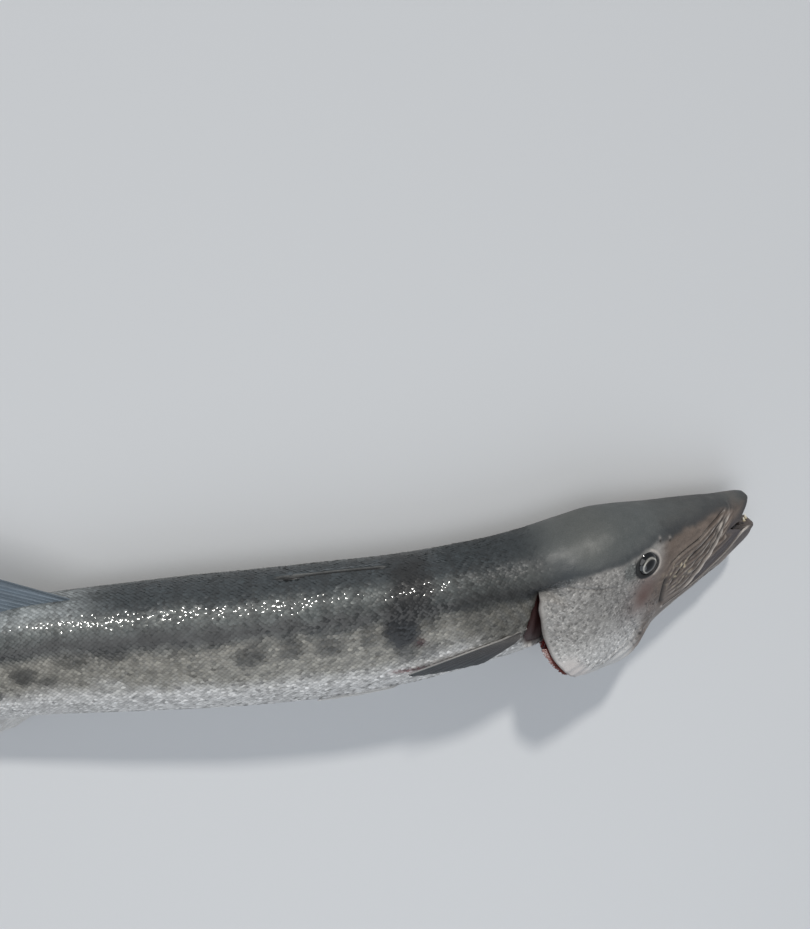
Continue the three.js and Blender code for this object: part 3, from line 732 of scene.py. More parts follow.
def socket_layers(r, points):
    """A dark ring of painted shade round each eye in its socket, with a pale arc ahead of it and a pale patch
    astern.
    """
    pairs = []
    for side in (1, -1):
        centre, _, astern, up = EYES[side]
        near = (r * side > 0) & (eye_distance(points, side) < 30)
        ahead, above = (centre - points) @ astern, (points - centre) @ up
        ring = np.where(near, np.hypot((ahead + 1.8) / 16.0, (above - 1.2) / 14.2), 9)
        patch = np.where(near, np.hypot((ahead + 22) / 9.0, (above + 1) / 10.0), 9)
        pairs += [
            (SOCKET_PATCH, 0.8 * (1 - smooth(0.6, 1.3, patch))),
            # Painted shade round the eye in its socket
            (SOCKET_SHADE, 0.97 * (1 - smooth(0.90, 1.04, ring))),
            (LIP_PALE, 0.75 * bell((ring - 1.11) * 18, 1.0) * smooth(3, 9, ahead)),
        ]
    return pairs


def skin_colour(points):
    s, d, r = SKIN_S, SKIN_D, SKIN_R
    nape = smooth(225, 268, s + 6 * cloud(70, s, d, r, 20, 2)) * (1 - SKIN_OPEN)
    blend = np.where(SKIN_RING >= BODY_RING, 1.0, nape)
    colour = mix(head_colour(s, d, r, points), body_colour(s, d, r, SKIN_ANGLE), blend[..., None])
    # The lining of the open covers and the pit behind the right one: gill red deepened by painted shade
    lining = (SKIN_RING >= FOLDS + 3) & (SKIN_RING < BODY_RING + 2)
    pit = np.maximum(1 - smooth(-6, 5, s - rim_of(d)), hollow(s, d, r)) * (SKIN_RING >= BODY_RING + 2)
    return layers(colour, (GILL_RED_SHADED, 0.94 * SKIN_OPEN * np.where(lining, 1.0, pit)))


# Mesh helpers
def mesh_object(name, points, groups, tints, uv, material, smooth_faces=True):
    """A mesh from millimetre points and groups of faces, the faces of a group with equal sides.

    Each point has a tint, and each point or each corner has a UV place.
    """
    corners = np.concatenate([group.ravel() for group in groups]).astype(np.int32)
    sizes = np.concatenate([np.full(len(group), group.shape[1], np.int32) for group in groups])
    mesh = bpy.data.meshes.new(name)
    mesh.vertices.add(len(points))
    mesh.vertices.foreach_set("co", (points.astype(np.float32) / 1000).ravel())
    mesh.loops.add(len(corners))
    mesh.loops.foreach_set("vertex_index", corners)
    mesh.polygons.add(len(sizes))
    mesh.polygons.foreach_set("loop_start", (np.cumsum(sizes) - sizes).astype(np.int32))
    mesh.polygons.foreach_set("use_smooth", np.full(len(sizes), smooth_faces))
    mesh.update(calc_edges=True)
    rgba = np.ones((len(points), 4), np.float32)
    rgba[:, :3] = np.clip(tints, 0, 1)
    mesh.color_attributes.new("tint", "FLOAT_COLOR", "POINT").data.foreach_set("color", rgba.ravel())
    if len(uv) == len(points):
        uv = uv[corners]
    mesh.uv_layers.new(name="OFBake").data.foreach_set("uv", uv.astype(np.float32).ravel())
    mesh.validate()
    mesh.materials.append(material)
    obj = bpy.data.objects.new(name, mesh)
    bpy.context.scene.collection.objects.link(obj)
    return obj


def grid_faces(rows, cols):
    """Point numbers of an open grid, and its faces."""
    index = np.arange(rows * cols).reshape(rows, cols)
    return index, np.stack([index[:-1, :-1], index[1:, :-1], index[1:, 1:], index[:-1, 1:]], -1)


def add_tube(parts, rings, tints, capped):
    """Adds a tube through rings of points, one tint to a ring; a capped one has four sides."""
    points, faces, colours = parts
    sides = len(rings[0])
    base = sides * len(points)
    last = base + sides * (len(rings) - 1)
    for p in range(base, last, sides):
        for j in range(sides):
            m = (j + 1) % sides
            faces.append([p + j, p + m, p + m + sides, p + j + sides])
    if capped:
        faces.append([base + 3, base + 2, base + 1, base])
        faces.append([last, last + 1, last + 2, last + 3])
    points += rings
    colours += [np.repeat(tint[None], sides, 0) for tint in tints]


def tube_object(name, parts, lowest, material, smooth_faces):
    points, faces, colours = parts
    points = np.concatenate(points)
    points[:, 2] = np.maximum(points[:, 2], lowest)
    uv = np.stack([np.linspace(0.05, 0.95, len(points)), np.full(len(points), 0.5)], -1)
    return mesh_object(name, points, [np.array(faces)], np.concatenate(colours), uv, material, smooth_faces)


def new_material(name, **sockets):
    material = bpy.data.materials.new(name)
    material.use_nodes = True
    shader = material.node_tree.nodes["Principled BSDF"]
    for key, value in sockets.items():
        shader.inputs[key.replace("_", " ")].default_value = value
    return material


def tinted(name, speckle, speckle_scale, bump, bump_scale, rough, **sockets):
    """Wet animal surface: painted tint, fine speckle, uneven gloss and a fine bump."""
    material = new_material(name, **sockets)
    nodes, links = material.node_tree.nodes, material.node_tree.links
    shader = nodes["Principled BSDF"]
    where = nodes.new("ShaderNodeTexCoord").outputs["Object"]

    def noise(scale, detail):
        node = nodes.new("ShaderNodeTexNoise")
        node.inputs["Scale"].default_value = scale
        node.inputs["Detail"].default_value = detail
        links.new(where, node.inputs["Vector"])
        return node.outputs["Fac"]

    def ranged(value, *ends):
        node = nodes.new("ShaderNodeMapRange")
        for key, end in zip(("From Min", "From Max", "To Min", "To Max"), ends):
            node.inputs[key].default_value = end
        links.new(value, node.inputs["Value"])
        return node.outputs["Result"]

    tint = nodes.new("ShaderNodeVertexColor")
    tint.layer_name = "tint"
    scale = nodes.new("ShaderNodeVectorMath")
    scale.operation = "SCALE"
    links.new(tint.outputs["Color"], scale.inputs[0])
    links.new(ranged(noise(speckle_scale, 3), 0.3, 0.7, 1 - speckle, 1 + speckle), scale.inputs["Scale"])
    links.new(scale.outputs["Vector"], shader.inputs["Base Color"])
    links.new(ranged(noise(60, 2), 0.35, 0.65, *rough), shader.inputs["Roughness"])
    bumped = nodes.new("ShaderNodeBump")
    bumped.inputs["Strength"].default_value = bump
    bumped.inputs["Distance"].default_value = 0.0006
    links.new(noise(bump_scale, 2), bumped.inputs["Height"])
    links.new(bumped.outputs["Normal"], shader.inputs["Normal"])
    return material


skin_wet = tinted("skin_wet", 0.16, 900, 0.35, 650, (0.46, 0.62), Coat_Weight=0.12, Coat_Roughness=0.4,
                  Specular_IOR_Level=0.4)
scale_silver = tinted("scale_silver", 0.10, 1100, 0.12, 900, (0.42, 0.55), Metallic=0.2,
                      Coat_Weight=0.5, Coat_Roughness=0.07)
scale_dull = tinted("scale_dull", 0.10, 1100, 0.12, 900, (0.5, 0.62), Metallic=0.15,
                    Coat_Weight=0.12, Coat_Roughness=0.3)
fin_membrane = tinted("fin_membrane", 0.12, 700, 0.3, 800, (0.45, 0.6), Coat_Weight=0.12,
                      Coat_Roughness=0.3)
gill_flesh = tinted("gill_flesh", 0.2, 800, 0.4, 900, (0.2, 0.35), Coat_Weight=0.6, Coat_Roughness=0.1)
tooth_ivory = tinted("tooth_ivory", 0.08, 700, 0.1, 900, (0.18, 0.28), Coat_Weight=0.3)
eye_wet = tinted("eye_wet", 0.06, 900, 0.0, 900, (0.08, 0.12), Coat_Weight=0.45, Coat_Roughness=0.04)


# One unwrap for skin and scales: length across, the way round up
def unwrap(ring_run, share):
    return np.stack([ring_run * 0.96 + 0.02, share * 0.94 + 0.03], -1)


def build_skin():
    points = shape_skin()
    colour = skin_colour(points)
    rows, cols = points.shape[:2]
    index = np.arange(rows * cols).reshape(rows, cols)
    nxt = np.roll(index, -1, axis=1)
    quads = np.stack([index[:-1], index[1:], nxt[1:], nxt[:-1]], -1)
    lips, stem = rows * cols, rows * cols + 1
    caps = np.array([
        np.stack([np.full(cols, lips), index[0], nxt[0]], -1),
        np.stack([np.full(cols, stem), nxt[-1], index[-1]], -1)])
    ends = [points[0].mean(0), place(BODY_END + 3.0, 0.0, 0.0)]
    vertices = np.concatenate([points.reshape(-1, 3), ends])
    tints = np.concatenate([colour.reshape(-1, 3), [colour[0].mean(0), colour[-1].mean(0)]])
    run = np.repeat(np.arange(rows) / (rows - 1), cols)
    share = np.tile(SHARES[:-1], rows)
    uv = np.concatenate([unwrap(run, share), unwrap(np.array([0.0, 1.0]), np.array([0.5, 0.5]))])
    corner = uv[np.concatenate([quads.ravel(), caps.ravel()])]
    # In the last strip, the corners at the first column belong at the far edge of the unwrap
    last_quads = corner[:quads.size].reshape(quads.shape + (2,))[:, -1]
    last_caps = corner[quads.size:].reshape(caps.shape + (2,))[:, -1]
    last_quads[:, 2:, 1] = last_caps[0, 2, 1] = last_caps[1, 1, 1] = 0.97
    groups = [quads.reshape(-1, 4), caps.reshape(-1, 3)]
    return mesh_object("skin", vertices, groups, tints, corner, skin_wet), points, colour


skin, SKIN_POINTS, SKIN_TINTS = build_skin()
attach(skin, "root")
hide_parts("head_upper", "jaw_lower", "throat", "gill_cover_right", "gill_cover_left", "body_front",
            "body_middle", "body_rear", "tail_front", "tail_stem")


# Scales: domed plates in staggered rows, each a little tilted, so that some catch the light
PLATE = np.array([[0.0, 0.0, 0.0], [0.22, 0.40, 0.0], [0.60, 0.50, 0.15], [0.92, 0.34, 0.45],
                  [1.06, 0.0, 0.62], [0.92, -0.34, 0.45], [0.60, -0.50, 0.15], [0.22, -0.40, 0.0],
                  [0.50, 0.0, 0.80], [0.84, 0.0, 1.0]])
PLATE_FACES = np.array([[0, 1, 8], [1, 2, 8], [2, 9, 8], [2, 3, 9], [3, 4, 9], [4, 5, 9], [5, 6, 9],
                        [6, 8, 9], [6, 7, 8], [7, 0, 8]])
# Painted shade where each plate is low and tucked under the one ahead, painted highlight along its raised
# middle
PLATE_SHADING = np.array([0.80, 0.80, 0.86, 0.92, 1.0, 0.92, 0.86, 0.80, 1.14, 1.18])


PLATES_PER_PIECE = 19000
SKIN_NORMALS = grid_normals(SKIN_POINTS)
SKIN_BACK = unit(np.gradient(SKIN_POINTS, axis=0))


def sample(table, row, share):
    """The skin's own value at a row and a share of the way round."""
    column = (share % 1) * AROUND
    i, j = np.floor(row).astype(int), np.floor(column).astype(int) % AROUND
    i = np.minimum(i, len(table) - 2)
    u, v = (row - i)[:, None], (column - np.floor(column))[:, None]
    k = (j + 1) % AROUND
    return mix(mix(table[i, j], table[i, k], v), mix(table[i + 1, j], table[i + 1, k], v), u)


def row_of(s, share, first, last):
    """Row of the skin's grid, between two rows, that lies at a station."""
    column = np.round(share * AROUND).astype(int) % AROUND
    result = np.zeros(len(s))
    for c in np.unique(column):
        here = column == c
        result[here] = np.interp(s[here], SKIN_S[first:last, c], np.arange(first, last))
    return result


def plates(row, share, length, width, lift, tilt, tints, shading_depth, name, slot, material):
    """Joined scale plates on the skin, in pieces of under 200 000 triangles."""
    centre = sample(SKIN_POINTS, row, share)
    normal = unit(sample(SKIN_NORMALS, row, share))
    back = unit(sample(SKIN_BACK, row, share))
    side = unit(np.cross(normal, back))
    lean = unit(normal + back * tilt[:, :1] + side * tilt[:, 1:])
    along = unit(back - lean * np.sum(back * lean, 1, keepdims=True))
    across = np.cross(lean, along)
    vertices = (centre[:, None]
                + along[:, None] * (PLATE[None, :, :1] - 0.5) * length[:, None, None]
                + across[:, None] * PLATE[None, :, 1:2] * width[:, None, None]
                + lean[:, None] * (PLATE[None, :, 2:] * lift[:, None, None] + 0.03))
    vertices[..., 2] = np.maximum(vertices[..., 2], 0.02)
    # Each plate's tint darkened at its low edges and lightened along its raised middle: painted shade and
    # highlight
    colours = tints[:, None] * (1 + shading_depth[:, None, None] * (PLATE_SHADING[None, :, None] - 1))
    place_uv = unwrap(row / (len(SKIN_S) - 1), share)
    uv = place_uv[:, None] + (PLATE[None, :, :2] - [0.5, 0]) * 0.0028
    for k, start in enumerate(range(0, len(row), PLATES_PER_PIECE)):
        part = slice(start, min(len(row), start + PLATES_PER_PIECE))
        size = part.stop - part.start
        faces = (PLATE_FACES[None] + (np.arange(size) * len(PLATE))[:, None, None]).reshape(-1, 3)
        piece = mesh_object(f"{name}_{k + 1}", vertices[part].reshape(-1, 3), [faces],
                            colours[part].reshape(-1, 3), uv[part].reshape(-1, 2), material)
        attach(piece, "root")


def staggered(first, last, rows, pitch_at):
    """Stations and shares of staggered rows of scales."""
    station, share = [], []
    s, row = first, 0
    while s < last:
        station.append(np.full(rows, s))
        share.append((np.arange(rows) + 0.5 * (row % 2)) / rows)
        s += pitch_at(s) / 2
        row += 1
    s, share = np.concatenate(station), np.concatenate(share)
    return s + rng.normal(0, 0.2, len(s)), (share + rng.normal(0, 0.0006, len(s))) % 1


def uneven(tints, spread, low, high):
    """Tints a little lighter or darker from plate to plate."""
    return tints * np.clip(1 + spread * rng.standard_normal(len(tints)), low, high)[:, None]


def random_tilt(count):
    """How far each plate leans toward the tail and to the side."""
    return np.stack([-0.02 + 0.07 * rng.standard_normal(count), 0.09 * rng.standard_normal(count)], 1)


def body_scales():
    def pitch_at(s):
        girth = body_top(s) + body_width(s)
        return SCALE_PITCH * girth / 119.0 * mix(0.7, 1.0, smooth(250, 330, s))

    s, share = staggered(232.0, BODY_END - 2, SCALE_ROWS, pitch_at)
    angle = angle_at(s, share)
    rim = rim_at(share)
    d, r = nape_section(s, angle)
    top_d, _ = head_section(rim, angle_at(rim, share))
    closed = top_d > 27
    behind = s > rim + 2.5 + 1.5 * rng.random(len(s))
    pit = hollow(s, d, r) > 0.25
    crown = (s < rim) & closed & (rng.random(len(s)) < smooth(232, 262, s + 0.2 * (40 - d)))
    groove = (np.abs(r) < 4.6) & (d > 40) & (s > 399) & (s < 523)
    on = (behind | crown) & ~pit & ~groove
    s, share, rim, closed = (v[on] for v in (s, share, rim, closed))
    row = np.where(s < rim, row_of(s, share, 0, FOLDS), row_of(s, share, BODY_RING, len(SKIN_S)))
    grown = np.where(closed, smooth(236, 310, s), 1.0)
    tints = uneven(sample(SKIN_TINTS, row, share), mix(0.05, 0.20, grown), 0.5, 1.6)
    rear = smooth(600, 730, s)
    tilt = random_tilt(len(s)) * (mix(0.4, 1.0, grown) * (1 - 0.4 * rear))[:, None]
    tilt[:, 0] -= 0.14 * rear
    length = pitch_at(s) * 1.06
    width = 2.75 * (body_top(s) + body_width(s)) / SCALE_ROWS * 1.08
    lift, shading_depth = mix(0.08, 0.32, grown), mix(0.2, 1.0, grown)
    shoulder = s + 12 * rng.random(len(s)) < 350
    for here, name, material in ((shoulder, "scales_shoulder", scale_dull),
                                 (~shoulder, "scales_body", scale_silver)):
        values = (v[here] for v in (row, share, length, width, lift, tilt, tints, shading_depth))
        plates(*values, name, "skin", material)


def cheek_scales():
    """Small scales on the cheeks and gill covers."""
    s, share = staggered(140.0, 266.0, CHEEK_ROWS, lambda s: CHEEK_PITCH)
    d, r = head_section(s, angle_at(s, share))
    rim = rim_of(d)
    ragged = 2.5 * cloud(60, s, d, r, 13, 3)
    on = (d < DORSAL_EDGE(s) + ragged) & (s < rim - 5) & (s - 0.25 * d > 148)
    on &= d > -0.74 * head_bottom(s)
    on &= ~((d < -50) & (s > rim - 20 - 3 * ragged))
    on &= rosy_patch(s, d) < 0.35 + 0.3 * rng.random(len(s))
    row = row_of(s, share, 0, FOLDS)
    p = sample(SKIN_POINTS, row, share)
    for side in (1, -1):
        on &= ~((r * side > 0) & (eye_distance(p, side) < 16.5))
    s, share, row = (v[on] for v in (s, share, row))
    count = len(s)
    tints = uneven(sample(SKIN_TINTS, row, share), 0.21, 0.55, 1.7)
    width = 2.75 * (head_bottom(s) + head_top(s) + 30) / 190.0
    length, lift, shading_depth = (np.full(count, v) for v in (CHEEK_PITCH * 1.1, 0.2, 0.7))
    plates(row, share, length, width, lift, random_tilt(count), tints, shading_depth, "scales_cheek", "cheek",
           scale_silver)


body_scales()
cheek_scales()


# Eyes: a flattened ball, painted from the middle out as pupil, iris, silver ring and dark rim
EYE_RADIUS, EYE_DEPTH, EYE_BULGE = 13.5, 8.5, 0.7


def build_eye(side, node):
    centre, out, astern, up = EYES[side]
    rings, around = 34, 72
    ring = np.arange(1, rings)
    polar = ring / rings * math.pi
    turn = np.arange(around) / around * 2 * math.pi
    wheel = np.outer(np.cos(turn), astern) + np.outer(np.sin(turn), up)
    depth = EYE_DEPTH * np.cos(polar) + EYE_BULGE * bell(ring, 6.5)
    points = centre + EYE_RADIUS * np.sin(polar)[:, None, None] * wheel + depth[:, None, None] * out
    points = points.reshape(-1, 3)
    index = np.arange(len(points)).reshape(rings - 1, around)
    nxt = np.roll(index, -1, axis=1)
    quads = np.stack([index[:-1], nxt[:-1], nxt[1:], index[1:]], -1).reshape(-1, 4)
    first, last = np.full(around, len(points)), np.full(around, len(points) + 1)
    caps = np.concatenate([np.stack([first, nxt[0], index[0]], -1), np.stack([last, index[-1], nxt[-1]], -1)])
    groups = [quads, caps]
    if side < 0:
        groups = [group[:, ::-1] for group in groups]
    x, y, depth = ((points - centre) @ axis for axis in (astern, up, out))
    pupil = np.hypot(x / 5.6, y / 6.4)
    iris = np.hypot(x / 7.9, y / 8.7)
    streak = 0.5 + 0.5 * np.cos(np.arctan2(y, x) * 23 + 3 * lattice(5, x, y, depth, 3))
    colour = layers(
        linear(EYE_GREY),
        (IRIS_BROWN, 0.4 * streak * bell(iris - 0.8, 0.12)),
        (IRIS_SILVER, 0.95 * bell(iris - 1.0, 0.06) * (0.75 + 0.25 * streak)),
        (PUPIL, 1 - smooth(0.92, 1.06, pupil)),
        (EYE_RIM, smooth(1.10, 1.2, iris)))
    vertices = np.concatenate([points, [centre + out * (EYE_DEPTH + EYE_BULGE), centre - out * EYE_DEPTH]])
    tints = np.concatenate([colour, [linear(PUPIL), linear(EYE_RIM)]])
    uv = np.concatenate([np.stack([0.5 + x / 30, 0.5 + y / 30], -1), [[0.5, 0.5], [0.5, 0.5]]])
    obj = mesh_object(node + "_detail", vertices, groups, tints, uv, eye_wet)
    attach(obj, "root")
    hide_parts(node)


build_eye(1, "eye_right")
build_eye(-1, "eye_left")


# Fins: thin sheets from root to tip with raised, branching rays
FIN_EDGE = 0.9


def fin_sheet(name, nodes, root, tip, rays, thick, paint, columns=180, rows=64, bow=None, wave=0.5):
    """root(u) and tip(u) are station, level and side; paint gives the tint from u, v and the ray."""
    u, v = np.meshgrid(np.linspace(0, 1, columns + 1), np.linspace(0, 1, rows + 1), indexing="ij")
    middle = mix(place(*root(u)), place(*tip(u)), v[..., None])
    if bow is not None:
        middle = middle + bow(u, v)
    normal = unit(np.cross(np.gradient(middle, axis=0), np.gradient(middle, axis=1)))
    phase = u * rays * 2 * math.pi
    split = smooth(0.45, 0.8, v)
    ridge = np.cos(phase) * 0.5 + 0.5
    branch = np.cos(phase * 2) * 0.5 + 0.5
    ray = np.maximum(ridge**3 * (1 - 0.4 * split), split * branch**4 * 0.8)
    half = (mix(thick, FIN_EDGE, v**0.8) / 2 * (0.72 + 0.28 * ray))[..., None]
    ripple = wave * np.sin(phase * 0.5 + 2.2 * v) * v
    middle = middle + normal * ripple[..., None]
    points = np.array([middle + normal * half, middle - normal * half]).reshape(-1, 3)
    points[:, 2] = np.maximum(points[:, 2], 0)
    n = u.size
    index, front = grid_faces(columns + 1, rows + 1)
    edge = np.concatenate([index[0], index[1:, -1], index[-1, -2::-1], index[-2:0:-1, 0]])
    edge_next = np.roll(edge, -1)
    rim = np.stack([edge, edge + n, edge_next + n, edge_next], -1)
    faces = np.concatenate([front.reshape(-1, 4), (front[..., ::-1] + n).reshape(-1, 4), rim])
    tint = paint(u, v, ray).reshape(-1, 3)
    uv = np.stack([u * 0.46 + 0.02, v * 0.96 + 0.02], -1).reshape(-1, 2)
    uv = np.concatenate([uv, uv + [0.5, 0]])
    obj = mesh_object(name, points, [faces], np.concatenate([tint, tint]), uv, fin_membrane)
    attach(obj, "root")
    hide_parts(*nodes)


def fin_paint(seed, base, pale, strength, dark_front=0.0, pale_tip=0.0, edge=0.0):
    def paint(u, v, ray):
        colour = layers(
            linear(base),
            (FIN_DARK, strength * (0.55 - 0.5 * ray)),
            (pale, strength * 0.65 * ray * (1 - 0.3 * v)),
            (FIN_DARK, dark_front * (1 - smooth(0.0, 0.09, u))),
            (PALE_BELLY, pale_tip * smooth(0.86, 0.98, v) * smooth(0.2, 0.0, u)),
            (FIN_DARK, 2 * edge * smooth(0.35, 1.0, v) * (1 - ray)),
            (PALE_BELLY, edge * (1 - smooth(0.012, 0.035, u))))
        return colour * (1 + 0.22 * cloud(seed, u * 200, v * 90, 0 * u, 16, 3))[..., None]
    return paint


def middle_fin(name, node, side, start, length, height, lean, paint):
    shape = curve((0, 0.9), (0.12, 1), (0.3, 0.72), (0.6, 0.42), (0.88, 0.33), (1, 0.4))

    def reach(s):
        return body_top(s) if side > 0 else -body_bottom(s)

    def root(u):
        s = start + u * length
        return s, reach(s) - side * 5, 0 * u

    def tip(u):
        s = start + u * length
        rise = height * shape(u)
        return s + rise * lean + 14 * u, reach(s) + side * rise, 0 * u

    fin_sheet(name, [node], root, tip, 11, 2.6, paint)


middle_fin("dorsal_second", "fin_dorsal_second", 1, 690, 74, 84, 1.35,
           fin_paint(82, FIN_BLUE, FIN_BLUE_PALE, 0.18, dark_front=0.4, pale_tip=0.8))
middle_fin("anal", "fin_anal", -1, 735, 66, 22, 3.1,
           fin_paint(84, PALE_BELLY, PALE_BELLY, 0.12, pale_tip=0.4))


def tail_lobe(name, node, side):
    start = BODY_END - 12
    reach = curve((0, 54), (0.16, 66), (0.5, 112), (0.8, 150), (1, 152))

    def root(u):
        return start + 0 * u, side * (0.15 + 29 * u), 0 * u

    def tip(u):
        return start + 4 + reach(u), side * (0.15 + 125.5 * u * (0.5 + 0.5 * u)), 0 * u

    def paint(u, v, ray):
        colour = layers(
            linear(FIN_DARK),
            (FIN_MID, 0.55 * ray * (1 - 0.5 * v)),
            (PALE_BELLY, 0.75 * smooth(0.72, 0.97, v) * smooth(0.72, 0.95, u)),
            (DARK_FLANK, 0.8 * (1 - smooth(0.1, 0.3, v))))
        return colour * (1 + 0.2 * cloud(88, u * 200, v * 120, 0 * u, 18, 3))[..., None]

    fin_sheet(name, [node], root, tip, 10, 7.4, paint, rows=80)


tail_lobe("tail_lobe_upper", "caudal_lobe_upper", 1)
tail_lobe("tail_lobe_lower", "caudal_lobe_lower", -1)


def flank_width(s, d):
    """Half width of the body at a level."""
    high = np.where(d > 0, body_top(s), body_bottom(s))
    power = np.where(d > 0, UPPER_POWER, LOWER_POWER)
    return body_width(s) * (1 - np.minimum(1, np.abs(d / high)) ** power) ** (1 / power)


def paired_fin(name, node, side, station, level, length, spread, lift, droop, rays, paint):
    """A fin that lies back along the flank, its outer edge lifted off the skin."""
    shape = curve((0, 1), (0.15, 0.98), (0.5, 0.78), (0.85, 0.5), (1, 0.4))

    def root(u):
        d = level - u * spread * 0.3
        return station + u * 4, d, side * (flank_width(station + 0 * u, d) - 2)

    def tip(u):
        s = station + length * shape(u)
        d = level - droop * shape(u) - u * spread
        return s, d, side * (flank_width(s, d) + lift * 0.9)

    def bow(u, v):
        s, d, r = (mix(a, b, v) for a, b in zip(root(u), tip(u)))
        skin_r = side * (flank_width(s, d) + 1.2 + (lift - 1.4) * v)
        share = np.where(side * r < side * skin_r, 1.0, 0.6)
        return place(s, d, mix(r, skin_r, share * smooth(0.02, 0.25, v))) - place(s, d, r)

    fin_sheet(name, [node], root, tip, rays, 2.4, paint, 140, 60, bow, 0.35)


paired_fin("pectoral_right", "fin_pectoral_right", 1, 281, -10, 119, 21, 6, 11, 14,
           fin_paint(90, FIN_BROWN, FIN_TAN, 0.9, edge=0.4))
paired_fin("pectoral_left", "fin_pectoral_left", -1, 284, -34, 104, 16, 3.5, 20, 14,
           fin_paint(92, FIN_BROWN, FIN_TAN, 0.7, dark_front=0.3))
pelvic_paint = fin_paint(94, PALE_BELLY, PALE_BELLY, 0.12)
paired_fin("pelvic_right", "fin_pelvic_right", 1, 402, -52, 82, 5, 2.5, 0, 6, pelvic_paint)
paired_fin("pelvic_left", "fin_pelvic_left", -1, 402, -55, 84, 6, 5, 1, 6, pelvic_paint)


# First dorsal fin, folded into its groove: a low ridge of five spines lying back
def folded_dorsal():
    rows, cols = 150, 24
    u, v = np.meshgrid(np.linspace(0, 1, rows), np.linspace(-1, 1, cols), indexing="ij")
    s = 400 + 120 * u
    spines = (np.abs(((u * 5 + 0.25 * np.abs(v)) % 1) - 0.5) * 2) ** 4
    high = (1.1 + 0.8 * spines) * smooth(0, 0.05, u) * (1 - smooth(0.9, 1, u)) * (1 - v**4)
    points = place(s, body_top(s) - 3.9 + high, v * 1.6).reshape(-1, 3)
    # The fin's own dark colour deepened by painted shade of its groove, near black painted shade where the
    # groove widens near its rear
    colour = layers(
        linear(FOLDED_FIN_SHADED),
        (FIN_MID, 0.25 * spines),
        (GROOVE_OPENING_SHADE, 0.9 * bell(s - 499, 9) * (1 - np.abs(v) ** 3)))
    _, faces = grid_faces(rows, cols)
    uv = np.stack([u * 0.9 + 0.05, v * 0.4 + 0.5], -1).reshape(-1, 2)
    obj = mesh_object("dorsal_first_folded", points, [faces.reshape(-1, 4)], colour.reshape(-1, 3), uv,
                      fin_membrane)
    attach(obj, "root")
    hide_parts("fin_dorsal_first")


folded_dorsal()


# Gills: rows of fine filaments under the open covers, and a comb along the rim of the right one
RIM_FILAMENTS = 110
STRAND_CORNERS = np.array([[1, 1], [-1, 1], [-1, -1], [1, -1]], float)


def outward_at(s, d, r):
    return unit(place(s, d * 1.1, r * 1.1) - place(s, d, r))


def strand(a, b, outward, steps, arch, high, wide):
    """Four-cornered rings that taper from a to b."""
    across = unit(np.cross(b - a, outward))
    rings = []
    for t in steps:
        centre = mix(a, b, t) + outward * arch * math.sin(math.pi * t)
        corners = STRAND_CORNERS * [mix(*high, t), mix(*wide, t)]
        rings.append(centre + outward * corners[:, :1] + across * corners[:, 1:])
    return rings


def arch_filament(parts, start, length, lift, angle):
    """A filament that runs back over the body, between it and the cover."""
    d0, r0 = inner_section(float(start), angle)
    frill = mix(-3.0, 2.0, float(smooth(-22, -42, d0)))
    end = min(start + length, float(rim_of(d0)) + frill + 1.6 * rng.random())
    d1, r1 = inner_section(end, angle)
    cover_d, cover_r = head_section(min(end, 280), angle, 6.0)
    size0, size1 = math.hypot(d0, r0), math.hypot(d1, r1)
    room = max(1.0, math.hypot(cover_d, cover_r) - size1)
    out = min(lift, room * 0.75) * (0.9 + 0.2 * rng.random())
    a = place(start, d0 * (1 + 1 / size0), r0 * (1 + 1 / size0))
    b = place(end, d1 * (1 + out / size1), r1 * (1 + out / size1))
    steps = np.linspace(0, 1, 4)
    rings = strand(a, b, outward_at(start, d0, r0), steps, 0.8, (1.0, 0.35), (0.55, 0.3))
    # Darker toward the root, deep between body and cover: painted shade
    dark, bright = linear(GILL_ROOT_SHADED), linear(GILL_BRIGHT)
    add_tube(parts, rings, [mix(dark, bright, t) * (0.7 + 0.6 * rng.random()) for t in steps], True)


def rim_filament(parts, angle):
    """A filament that shows beyond the rim of the right cover."""
    rim = 250.0
    for _ in range(30):
        rim = mix(rim, float(rim_of(head_section(rim, angle)[0])), 0.4)
    long = 4.5 + 2.5 * rng.random()
    d0, r0 = head_section(rim - 8, angle, 3.5)
    d1, r1 = head_section(rim, angle, 4.6)
    a, b = place(rim - 8, d0, r0), place(rim + long, d1, r1)
    steps = (0.0, 0.6, 1.0)
    rings = strand(a, b, outward_at(rim, d1, r1), steps, 0.0, (0.8, 0.3), (0.42, 0.2))
    red = mix(linear(FRILL_DARK), linear(FRILL_PALE), rng.random())
    # Darker at the root under the rim: painted shade
    add_tube(parts, rings, [red * mix(0.5, 1.1, t) for t in steps], True)


def gill_fringe(name, node, side, low, high, count, rows):
    parts = [], [], []
    for row, (start, length, lift) in enumerate(rows):
        for k in range(count):
            angle = math.radians(mix(low, high, (k + 0.5 + 0.3 * (row % 2)) / count))
            arch_filament(parts, start, length, lift, angle if side > 0 else math.pi - angle)
    if side > 0:
        for k in range(RIM_FILAMENTS):
            rim_filament(parts, math.radians(mix(-15.0, -66.0, (k + 0.4 * rng.random()) / RIM_FILAMENTS)))
    obj = tube_object(name, parts, 0.3, gill_flesh, False)
    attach(obj, "root")
    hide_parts(node)


gill_fringe("gill_fringe_right", "gills_right", 1, 14, -84, 130,
            [(216, 40, 16), (224, 44, 10), (234, 36, 5.5)])
gill_fringe("gill_fringe_left", "gills_left", -1, -30, -82, 60, [(222, 34, 5), (232, 30, 3)])


# Teeth: the few that show where the lips part at the front, as station, level, side, height and radius
TEETH = [
    (7.5, -2.5, 0.0, 6.5, 1.6), (12.5, -1.5, 4.6, 5, 1.3), (12.5, -1.5, -4.6, 5, 1.3),
    (21, 7.5, 5, -5.0, 1.4), (21, 7.5, -5, -5.0, 1.4), (27, 6.0, 8, -4.5, 1.3), (27, 6.0, -8, -4.5, 1.3),
]


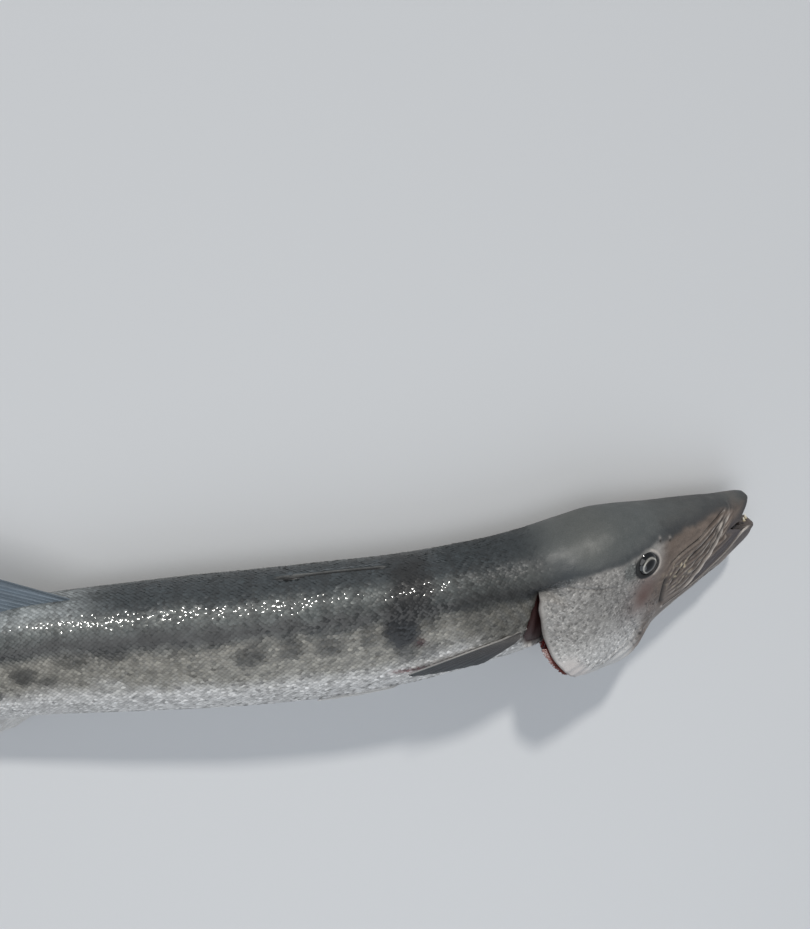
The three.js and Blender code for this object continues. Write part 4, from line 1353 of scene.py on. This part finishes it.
def build_teeth():
    turn = np.arange(10) / 10 * 2 * math.pi
    steps = np.arange(6) / 5
    tints = [mix(linear(TOOTH_ROOT), linear(TOOTH_TIP), t) for t in steps]
    parts = [], [], []
    for s, d, r, height, radius in TEETH:
        foot = place(s, d, r)
        axis = unit(place(s + 1.5, d + height, r * 0.9) - foot)
        along = unit(place(s - 5, d, r) - foot)
        wheel = np.outer(np.cos(turn), along) * 1.3 + np.outer(np.sin(turn), unit(np.cross(axis, along)))
        rings = [foot + axis * abs(height) * t + wheel * (radius * (1 - t) ** 0.7 + 0.08) for t in steps]
        add_tube(parts, rings, tints, False)
    obj = tube_object("teeth", parts, 0.0, tooth_ivory, True)
    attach(obj, "root")


build_teeth()


# Stage: pale floor, sun-like key, soft fill, and the camera
FLOOR_DARK, FLOOR_PALE = (0.60, 0.61, 0.62, 1), (0.64, 0.65, 0.66, 1)
SKY = (0.80, 0.86, 0.95, 1)


def build_stage():
    mesh = bpy.data.meshes.new("floor")
    corners = [(x, y, -0.0005) for x, y in ((-6, -6), (6, -6), (6, 6), (-6, 6))]
    mesh.from_pydata(corners, [], [(0, 1, 2, 3)])
    floor = bpy.data.objects.new("floor", mesh)
    bpy.context.scene.collection.objects.link(floor)
    paper = new_material("floor_paper", Roughness=0.9, Specular_IOR_Level=0.2)
    nodes, links = paper.node_tree.nodes, paper.node_tree.links
    noise = nodes.new("ShaderNodeTexNoise")
    noise.inputs["Scale"].default_value = 3
    ramp = nodes.new("ShaderNodeValToRGB")
    ramp.color_ramp.elements[0].color = FLOOR_DARK
    ramp.color_ramp.elements[1].color = FLOOR_PALE
    links.new(noise.outputs["Fac"], ramp.inputs["Fac"])
    links.new(ramp.outputs["Color"], nodes["Principled BSDF"].inputs["Base Color"])
    mesh.materials.append(paper)
    world = bpy.data.worlds.new("studio")
    world.use_nodes = True
    background = world.node_tree.nodes["Background"]
    background.inputs["Color"].default_value = SKY
    background.inputs["Strength"].default_value = 0.34
    bpy.context.scene.world = world


def lamp(name, kind, at, target, energy, size, colour):
    """A light that shines from a place at a target: size is degrees for a sun, else metres."""
    data = bpy.data.lights.new(name, kind)
    data.energy = energy
    data.color = colour
    if kind == "SUN":
        data.angle = math.radians(size)
    else:
        data.size = size
    light = bpy.data.objects.new(name, data)
    light.location = at
    light.rotation_euler = (Vector(at) - Vector(target)).to_track_quat("Z", "Y").to_euler()
    bpy.context.scene.collection.objects.link(light)


def build_camera():
    data = bpy.data.cameras.new("camera")
    data.lens = LENS
    data.sensor_width = 36
    data.clip_start = 0.01
    camera = bpy.data.objects.new("camera", data)
    forward = Vector(CAMERA_FORWARD).normalized()
    up = Vector(CAMERA_UP)
    up = (up - forward * up.dot(forward)).normalized()
    right = forward.cross(up)
    turn = Matrix((right, up, -forward)).transposed()
    camera.matrix_world = Matrix.Translation(CAMERA_AT) @ turn.to_4x4()
    bpy.context.scene.collection.objects.link(camera)
    bpy.context.scene.camera = camera


bpy.context.scene.view_settings.view_transform = "Standard"
build_stage()
lamp("key", "SUN", (-0.05, 0.86, 0.51), (0, 0, 0), 2.1, 4.5, (1.0, 0.97, 0.92))
lamp("fill", "AREA", (0.3, -1.4, 1.6), (0, 0, 0.05), 8, 1.6, (0.85, 0.92, 1.0))
lamp("top", "AREA", (-0.4, 0.3, 2.2), (0, 0, 0.05), 15, 1.8, (1, 1, 1))
build_camera()
